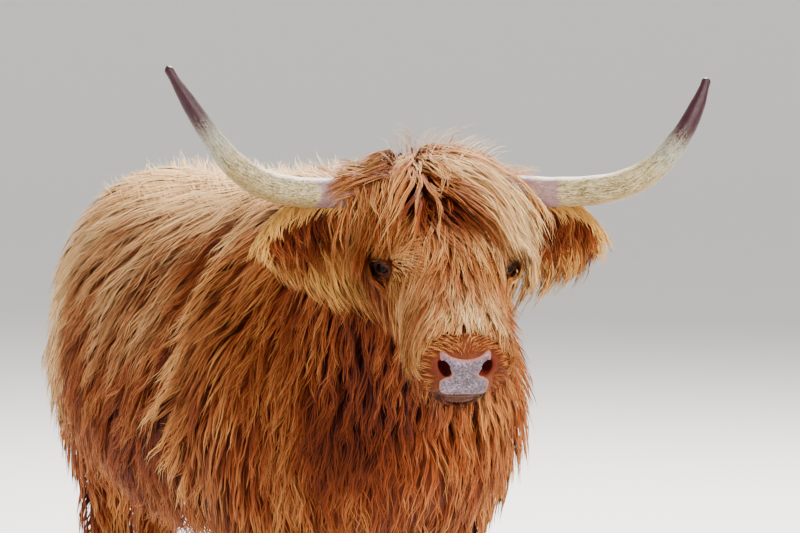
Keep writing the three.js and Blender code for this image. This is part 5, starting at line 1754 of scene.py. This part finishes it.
class CowCoatSizes(bpy.types.PropertyGroup):
    """Sizes and colours of the coat."""

    length_factor: bpy.props.FloatProperty(
        name="Length", description="How long the hair is, as a share of its usual length", default=1.0,
        min=0.5, max=1.4, subtype="FACTOR",
    )
    spacing: bpy.props.FloatProperty(
        name="Tuft spacing", description="How far apart the tufts of the body grow", default=0.0275,
        min=0.015, max=0.06, unit="LENGTH", subtype="DISTANCE",
    )
    density: bpy.props.FloatProperty(
        name="Density", description="Strands in each tuft, as a share of the usual number", default=1.0,
        min=0.2, max=1.3, subtype="FACTOR",
    )
    seed: bpy.props.IntProperty(
        name="Seed", description="Changes the chance variation of the tufts", default=4,
    )
    root: colour_property("Root", "Colour of the hair at its root", rgb(56, 8, 1))
    middle: colour_property("Middle", "Colour of the hair along its middle", rgb(130, 54, 12))
    tip: colour_property("Tip", "Colour of the hair at its tip", rgb(212, 142, 74))
    # Faded and Ear fringe also colour the painted light on the coat
    cream: colour_property("Faded", "Colour of hair that the sun has faded", rgb(252, 214, 154))
    fringe: colour_property("Ear fringe", "Colour of the palest hair on the ears", rgb(250, 190, 96))


class CowHeadSizes(bpy.types.PropertyGroup):
    """Sizes and colours of the eyes, nose and skin."""

    cornea: bpy.props.FloatProperty(
        name="Cornea", description="How far the clear front of an eye stands out", default=0.0022,
        min=0.0, max=0.005, unit="LENGTH", subtype="DISTANCE",
    )
    iris: colour_property("Iris", "Colour of the iris", rgb(30, 13, 6))
    nose: colour_property("Nose", "Colour of the nose pad", rgb(110, 88, 104))
    skin: colour_property("Short fur", "Colour of the short fur on the skin", rgb(116, 46, 12))


class CowHornSizes(bpy.types.PropertyGroup):
    """Sizes and colours of horns and hooves."""

    sides: bpy.props.IntProperty(name="Sides", description="Faces round a horn", default=56, min=12, max=128)
    ring_depth: bpy.props.FloatProperty(
        name="Ring depth", description="Height of the growth rings at the base of a horn", default=0.0005,
        min=0.0, max=0.003, unit="LENGTH", subtype="DISTANCE",
    )
    pale: colour_property("Horn", "Colour of the horns", rgb(198, 184, 144))
    dark: colour_property("Tips", "Colour of the tips of the horns", rgb(24, 8, 14))
    base: colour_property("Base", "Colour of the horns by the hair", rgb(150, 114, 120))
    hoof: colour_property("Hoof", "Colour of the hooves", rgb(52, 42, 34))


class CowStageSizes(bpy.types.PropertyGroup):
    """Floor, lights and camera."""

    floor: colour_property("Floor", "Colour of the floor", (0.78, 0.77, 0.75, 1.0))
    light: bpy.props.FloatProperty(
        name="Light", description="Strength of all lights", default=1.0, min=0.1, max=4, subtype="FACTOR",
    )
    turn: bpy.props.FloatProperty(
        name="Camera turn", description="Where the camera stands round the cow", default=math.radians(-21.5),
        subtype="ANGLE", unit="ROTATION",
    )
    pitch: bpy.props.FloatProperty(
        name="Camera pitch", description="How far the camera looks down", default=math.radians(4.5),
        subtype="ANGLE", unit="ROTATION",
    )
    distance: bpy.props.FloatProperty(
        name="Camera distance", description="From the eyes to the camera", default=8.0, min=2, max=30,
        unit="LENGTH", subtype="DISTANCE",
    )


# ---- operators

FLESH = ["torso", "neck", "head", "ear_left", "ear_right", "tail", "udder"] + [
    f"{name}_{part}_leg" for name in LEGS for part in ("upper", "lower")
]
LASHES = {"upper": 20, "all": 26}  # of one eye
WHISKERS = {"upper": 70, "all": 110}
LAMPS = (  # name, place, size, power, colour
    ("key", (3.6, -4.4, 4.8), 2.0, 700, (1.0, 0.96, 0.9)),
    ("fill", (-4.8, -4.6, 2.6), 4.0, 110, (1.0, 0.97, 0.94)),
    ("back", (1.0, 3.6, 5.2), 2.2, 1500, (1.0, 0.95, 0.88)),
)
LAMPS_AIM = (0, 0, 0.9)
FRAME = (800, 533)  # pixels across and down
EYES_PIXEL = (445, 267)  # where the middle between the eyes falls in the frame
FOCAL_LENGTH = 4444.0  # in pixels of the frame
SENSOR = 36  # width in millimetres


class COW_OT_skin(bpy.types.Operator):
    """Makes the one skin under the coat, in place of the flesh"""

    bl_idname = "cow.skin"
    bl_label = "Skin"

    def execute(self, context):
        skin = body_skin()
        combine(skin, [head_skin(), udder_skin()], "UNION")
        skin.name = skin.data.name = "skin"
        skin.data.shade_smooth()
        SKIN["surface"] = Surface(skin.data)
        points = points_of(skin.data)
        skin_marks(skin.data, points, SKIN["surface"].normals)
        paint(skin, skin_material(context.scene.cow_head.skin))
        if len(skin.data.vertices) < 1000:
            raise RuntimeError("the skin came out empty")
        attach(skin, "root")
        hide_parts(*FLESH)
        return {"FINISHED"}


class COW_OT_eyes(bpy.types.Operator):
    """Makes the eyes, each a fine ball with a clear front that stands out"""

    bl_idname = "cow.eyes"
    bl_label = "Eyes"

    def execute(self, context):
        sizes = context.scene.cow_head
        material = eye_material(sizes.iris)
        for name, (centre, (corner, high, gaze)) in EYES.items():
            ball = ellipsoid("eyeball_" + name, centre, (corner, high, gaze), (EYE["radius"],) * 3, 56, 40)
            local = (points_of(ball.data) - centre) / EYE["radius"]
            wide, tall, ahead = local @ corner, local @ high, local @ gaze
            off = np.hypot(wide, tall)
            bulge = sizes.cornea * 1000 * (1 - ease(off, 0.35, 0.8)) * (ahead > 0)
            moved = to_frame(centre + local * (EYE["radius"] + bulge[:, None]))
            ball.data.vertices.foreach_set("co", moved.astype(np.float32).ravel())
            keep_numbers(ball.data, wide=wide, tall=np.where(ahead > 0, tall, 1))
            paint(ball, material)
            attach(ball, "root")
            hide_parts("eye_" + name)
        return {"FINISHED"}


class COW_OT_nose_pad(bpy.types.Operator):
    """Makes the nose pad with its nostrils"""

    bl_idname = "cow.nose_pad"
    bl_label = "Nose pad"

    def execute(self, context):
        pad = loft_object("nose_leather", SKULL, 0.5, NOSE_PROUD, 96, 140)
        ring = [*NOSE_OUTLINE, *[[-left, out] for left, out in NOSE_OUTLINE[-2:0:-1]]]
        outline = smooth_outline(ring, 4)
        combine(pad, [prism("nose_bar", outline, NOSE_BACK, 560)], "INTERSECT")
        combine(pad, cut_tools(), "DIFFERENCE")
        even_skin(pad, "nose")
        points = points_of(pad.data)
        # inside marks where the nostrils are painted dark as shade
        inside = 1 - ease(from_nostrils(points, 4), 13, 20)
        left, out = head_place(points)[:, 1:].T
        rim = np.hypot(left[:, None] - outline[:, 0], out[:, None] - outline[:, 1]).min(axis=1)
        middle = 0.35 + 0.65 * np.exp(-((left / 24) ** 2 + ((out + 78) / 30) ** 2))
        keep_numbers(pad.data, inside=inside, edge=1 - ease(rim, 0.5, 5.5), middle=middle)
        pad.data.shade_smooth()
        paint(pad, nose_material(context.scene.cow_head.nose))
        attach(pad, "root")
        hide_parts("nose_pad")
        return {"FINISHED"}


class COW_OT_horns(bpy.types.Operator):
    """Makes the horns along their paths"""

    bl_idname = "cow.horns"
    bl_label = "Horns"

    def execute(self, context):
        sizes = context.scene.cow_horns
        tree = horn_tree()
        material = horn_material("cow_horn", sizes.pale, sizes.dark, sizes.base)
        for name, side in SIDES.items():
            rows = horn_path(name)
            rings = 150
            part = np.linspace(0, 1, rings)
            line = mix_rows(rows, part * (len(rows) - 1))
            flare = 1 + 0.05 * bell(part, 0.1, 0.06)
            full = np.maximum(line[:, 3], 7) + 1.5 * ease(part, 0.7, 0.9)
            thick = full * flare * np.sqrt(np.clip((1 - part) / 0.022, 0.02, 1))
            tip = line[-1:, :3] + (line[-1:, :3] - line[-2:-1, :3]) * 0.5
            path = np.vstack([line[:, :3], tip])
            part, thick = np.append(part, 1), np.append(thick, 0.4)
            walked = np.concatenate([[0], np.cumsum(lengths(np.diff(path, axis=0)))])
            share = walked / walked[-1]
            horn = path_object("horn_sheath_" + name, [path], thick=[thick / 1000], along=[share])
            inputs = {"Sides": sizes.sides, "Ring Depth": sizes.ring_depth, "Seed": 3.0 + side}
            run_tree(horn, tree, {**inputs, "Material": material})
            points = points_of(horn.data)
            near = np.abs(points[:, None] - path[None, ::4]).sum(axis=2).argmin(axis=1)
            away = unit(points - path[::4][near])
            round_it = unit(np.cross(LEVEL_FORWARD, np.gradient(path[::4], axis=0)))[near]
            # under marks the horn's downward side, which the material paints as shade
            keep_numbers(
                horn.data, under=ease(-away[:, 2], 0.1, 0.8), ahead=away @ LEVEL_FORWARD,
                over=(away * round_it).sum(axis=1),
            )
            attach(horn, "root")
            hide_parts("horn_" + name)
        return {"FINISHED"}


class COW_OT_hooves(bpy.types.Operator):
    """Makes the hooves, each with two claws and two dewclaws"""

    bl_idname = "cow.hooves"
    bl_label = "Hooves"

    def execute(self, context):
        material = hoof_material(context.scene.cow_horns.hoof)
        for name, leg in LEG_FORMS.items():
            x, y = leg.rows[0][:2]
            shells = []
            for way in (-1, 1):
                rows = [[x + way * CLAW_SPREAD, y, z, *sizes, 0] for z, *sizes in CLAW_ROWS]
                claw = Form(rows, axes=(X, -Y, Z), round_ends=False)
                shells.append(loft_object("claw", claw, sides=40, rings=24))
            x, y = leg.rows[2][:2]
            for way in (-1, 1):
                rows = [
                    [
                        x + way * DEWCLAW["apart"], y + DEWCLAW["back"] + (part - 0.6) * 10,
                        DEWCLAW["height"] - DEWCLAW["length"] * (part - 0.5),
                        *[DEWCLAW["radius"] * (1 - 0.75 * part * part)] * 3, 2, 0,
                    ] for part in (1, 0.75, 0.35, 0)
                ]
                dewclaw = Form(rows, axes=(X, -Y, Z), round_ends=False)
                shells.append(loft_object("dewclaw", dewclaw, sides=24, rings=14))
            hoof = shells[0]
            hoof.name = hoof.data.name = "hooves_" + name
            combine(hoof, shells[1:], "UNION")
            hoof.data.shade_smooth()
            paint(hoof, material)
            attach(hoof, "root")
            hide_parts(name + "_hoof", name + "_dewclaw_outer", name + "_dewclaw_inner")
        return {"FINISHED"}


def grow_coat(context, wanted):
    """Grows the pieces of the coat whose names start with one of these."""
    sizes = context.scene.cow_coat
    material, ears = (
        bpy.data.materials.get(name) or coat_material(name, sizes.root, sizes.middle, sizes.tip, pale)
        for name, pale in (("cow_coat", sizes.cream), ("cow_ear_coat", sizes.fringe))
    )
    for number, (name, (thousands, kinds)) in enumerate(coat_kinds(sizes.spacing * 1000).items()):
        if not name.startswith(wanted):
            continue
        for kind in kinds:
            kind.length *= sizes.length_factor
        finish = ears if "ear" in name else material
        piece = coat_piece(name, kinds, sizes.seed + 1000 * number, 1000 * thousands * sizes.density, finish)
        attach(piece, "root")
    return {"FINISHED"}


class COW_OT_body_coat(bpy.types.Operator):
    """Grows the coat of the back, flanks and belly"""

    bl_idname = "cow.body_coat"
    bl_label = "Body coat"

    def execute(self, context):
        return grow_coat(context, ("coat_back", "coat_flank", "coat_belly"))


class COW_OT_neck_coat(bpy.types.Operator):
    """Grows the coat of the neck and chest"""

    bl_idname = "cow.neck_coat"
    bl_label = "Neck coat"

    def execute(self, context):
        return grow_coat(context, ("coat_neck", "coat_chest"))


class COW_OT_head_coat(bpy.types.Operator):
    """Grows the forelock and the coat of the face, cheeks, muzzle and ears"""

    bl_idname = "cow.head_coat"
    bl_label = "Head coat"

    def execute(self, context):
        return grow_coat(context, ("coat_forelock", "coat_face", "coat_cheeks", "coat_muzzle", "coat_ear"))


class COW_OT_leg_coat(bpy.types.Operator):
    """Grows the coat of the legs and the tail"""

    bl_idname = "cow.leg_coat"
    bl_label = "Leg and tail coat"

    def execute(self, context):
        return grow_coat(context, ("coat_upper", "coat_lower", "coat_tail"))


class COW_OT_bristles(bpy.types.Operator):
    """Makes the lashes and the whiskers round the muzzle"""

    bl_idname = "cow.bristles"
    bl_label = "Lashes and whiskers"

    def execute(self, context):
        rng = np.random.default_rng(31)
        paths, thick = [], []
        for centre, (corner, high, gaze) in EYES.values():
            for k in range(LASHES["all"]):
                upper = k < LASHES["upper"]
                turn = math.radians(rng.uniform(12, 168) if upper else rng.uniform(200, 340))
                away = corner * math.cos(turn) * 20 + high * math.sin(turn) * (12 if upper else 10)
                root = centre + away + gaze * 16
                length = rng.uniform(11, 20) if upper else rng.uniform(5, 9)
                part = np.linspace(0, 1, 6)[:, None]
                droop = -high * 0.55 if upper else high * 0.1
                way = unit(away) * 0.35 + gaze * 0.85 + corner * rng.normal(0, 0.1)
                paths.append(root + length * (way * part + droop * part**2))
                thick.append(bristle_radii(part))
        for k in range(WHISKERS["all"]):
            row, angle = rng.uniform(0.6, 3.2), math.radians(rng.uniform(-70, 250))
            form, closer = (SKULL, 1) if k < WHISKERS["upper"] else (CHIN, 0.5)
            root, out = SKIN["surface"].nearest(form.points([row * closer], angle))
            if not off_the_nose(root)[0]:
                continue
            part = np.linspace(0, 1, 7)[:, None]
            way = unit(out[0] + 0.4 * rng.normal(size=3) + 0.4 * ALONG_FACE)
            length = rng.uniform(22, 48)
            paths.append(root[0] + length * (way * part - 0.45 * Z * part**2))
            thick.append(bristle_radii(part))
        bristles = path_object("lashes_and_whiskers", paths, thick=thick)
        run_tree(bristles, bristle_tree(), {"Sides": 3, "Material": bristle_material()})
        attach(bristles, "root")
        return {"FINISHED"}


class COW_OT_stage(bpy.types.Operator):
    """Sets the floor, the lights and the camera"""

    bl_idname = "cow.stage"
    bl_label = "Stage"

    def execute(self, context):
        sizes = context.scene.cow_stage
        scene = context.scene
        look = {"base_color": sizes.floor, "emission_color": sizes.floor, "emission_strength": 0.3}
        finish = Finish("pale_floor", roughness=0.85, **look)
        profile = [(float(far), 0.0) for far in (1, 4, 8, 12, 16, 20, 23, 24)]
        profile += [(24 + 6 * math.sin(a), 6 - 6 * math.cos(a)) for a in np.linspace(0, math.pi / 2, 13)[1:]]
        profile.append((30.0, 13.0))
        around = 96
        turns = [2 * k * math.pi / around for k in range(around)]
        points = [(far * math.cos(a), far * math.sin(a), high) for far, high in profile for a in turns]
        bands = [face[::-1] for face in tube_faces(len(profile) - 1, around)]
        mesh = bpy.data.meshes.new("floor")
        mesh.from_pydata(points, [], [tuple(range(around))] + bands)
        mesh.shade_smooth()
        mesh.materials.append(finish.material)
        new_object("floor", mesh)

        world = bpy.data.worlds.new("studio")
        world.use_nodes = True
        glow = world.node_tree.nodes["Background"].inputs
        glow["Color"].default_value = (1.0, 0.98, 0.95, 1.0)
        glow["Strength"].default_value = 0.55 * sizes.light
        scene.world = world
        middle = Vector(to_frame((EYES["left"][0] + EYES["right"][0]) / 2))
        for name, place, size, power, colour in LAMPS:
            light = bpy.data.lights.new(name, "AREA")
            light.size, light.energy, light.color = size, power * sizes.light, colour
            lamp = new_object(name, light)
            lamp.location = Matrix.Rotation(sizes.turn, 3, "Z") @ Vector(place)
            lamp.rotation_euler = (Vector(LAMPS_AIM) - lamp.location).to_track_quat("-Z", "Y").to_euler()

        off_x, off_y = (pixel - size / 2 for pixel, size in zip(EYES_PIXEL, FRAME))
        ahead = Vector((-math.sin(sizes.turn), math.cos(sizes.turn), 0)) * math.cos(sizes.pitch)
        ahead.z = -math.sin(sizes.pitch)
        right = Vector((math.cos(sizes.turn), math.sin(sizes.turn), 0))
        up = right.cross(ahead)
        place = middle - ahead * sizes.distance
        place += (up * off_y - right * off_x) * sizes.distance / FOCAL_LENGTH
        data = bpy.data.cameras.new("camera")
        data.sensor_width, data.lens, data.clip_end = SENSOR, SENSOR * FOCAL_LENGTH / FRAME[0], 100
        camera = new_object("camera", data)
        camera.matrix_world = Matrix.Translation(place) @ Matrix((right, up, -ahead)).transposed().to_4x4()
        scene.camera = camera
        return {"FINISHED"}


OPERATORS = (
    COW_OT_stage, COW_OT_skin, COW_OT_eyes, COW_OT_nose_pad, COW_OT_horns, COW_OT_hooves, COW_OT_body_coat,
    COW_OT_neck_coat, COW_OT_head_coat, COW_OT_leg_coat, COW_OT_bristles,
)


class COW_PT_panel(bpy.types.Panel):
    """Lists the pieces of the cow"""

    bl_idname = "COW_PT_panel"
    bl_label = "Highland Cow"
    bl_space_type = "VIEW_3D"
    bl_region_type = "UI"
    bl_category = "Cow"

    def draw(self, context):
        for group in ("cow_coat", "cow_head", "cow_horns", "cow_stage"):
            sizes = getattr(context.scene, group)
            box = self.layout.box()
            for key in sizes.__annotations__:
                box.prop(sizes, key)
        for operator in OPERATORS:
            self.layout.operator(operator.bl_idname)


GROUPS = {
    "cow_coat": CowCoatSizes, "cow_head": CowHeadSizes, "cow_horns": CowHornSizes, "cow_stage": CowStageSizes,
}


def register():
    """Registers the property groups, the operators and the panel."""
    for name, group in GROUPS.items():
        bpy.utils.register_class(group)
        setattr(bpy.types.Scene, name, bpy.props.PointerProperty(type=group))
    for kind in (*OPERATORS, COW_PT_panel):
        bpy.utils.register_class(kind)


def unregister():
    """Takes them away again."""
    for kind in (COW_PT_panel, *reversed(OPERATORS)):
        bpy.utils.unregister_class(kind)
    for name, group in reversed(GROUPS.items()):
        delattr(bpy.types.Scene, name)
        bpy.utils.unregister_class(group)


def main():
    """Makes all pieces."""
    register()
    for operator in OPERATORS:
        group, name = operator.bl_idname.split(".")
        getattr(getattr(bpy.ops, group), name)()


if __name__ == "__main__":
    main()
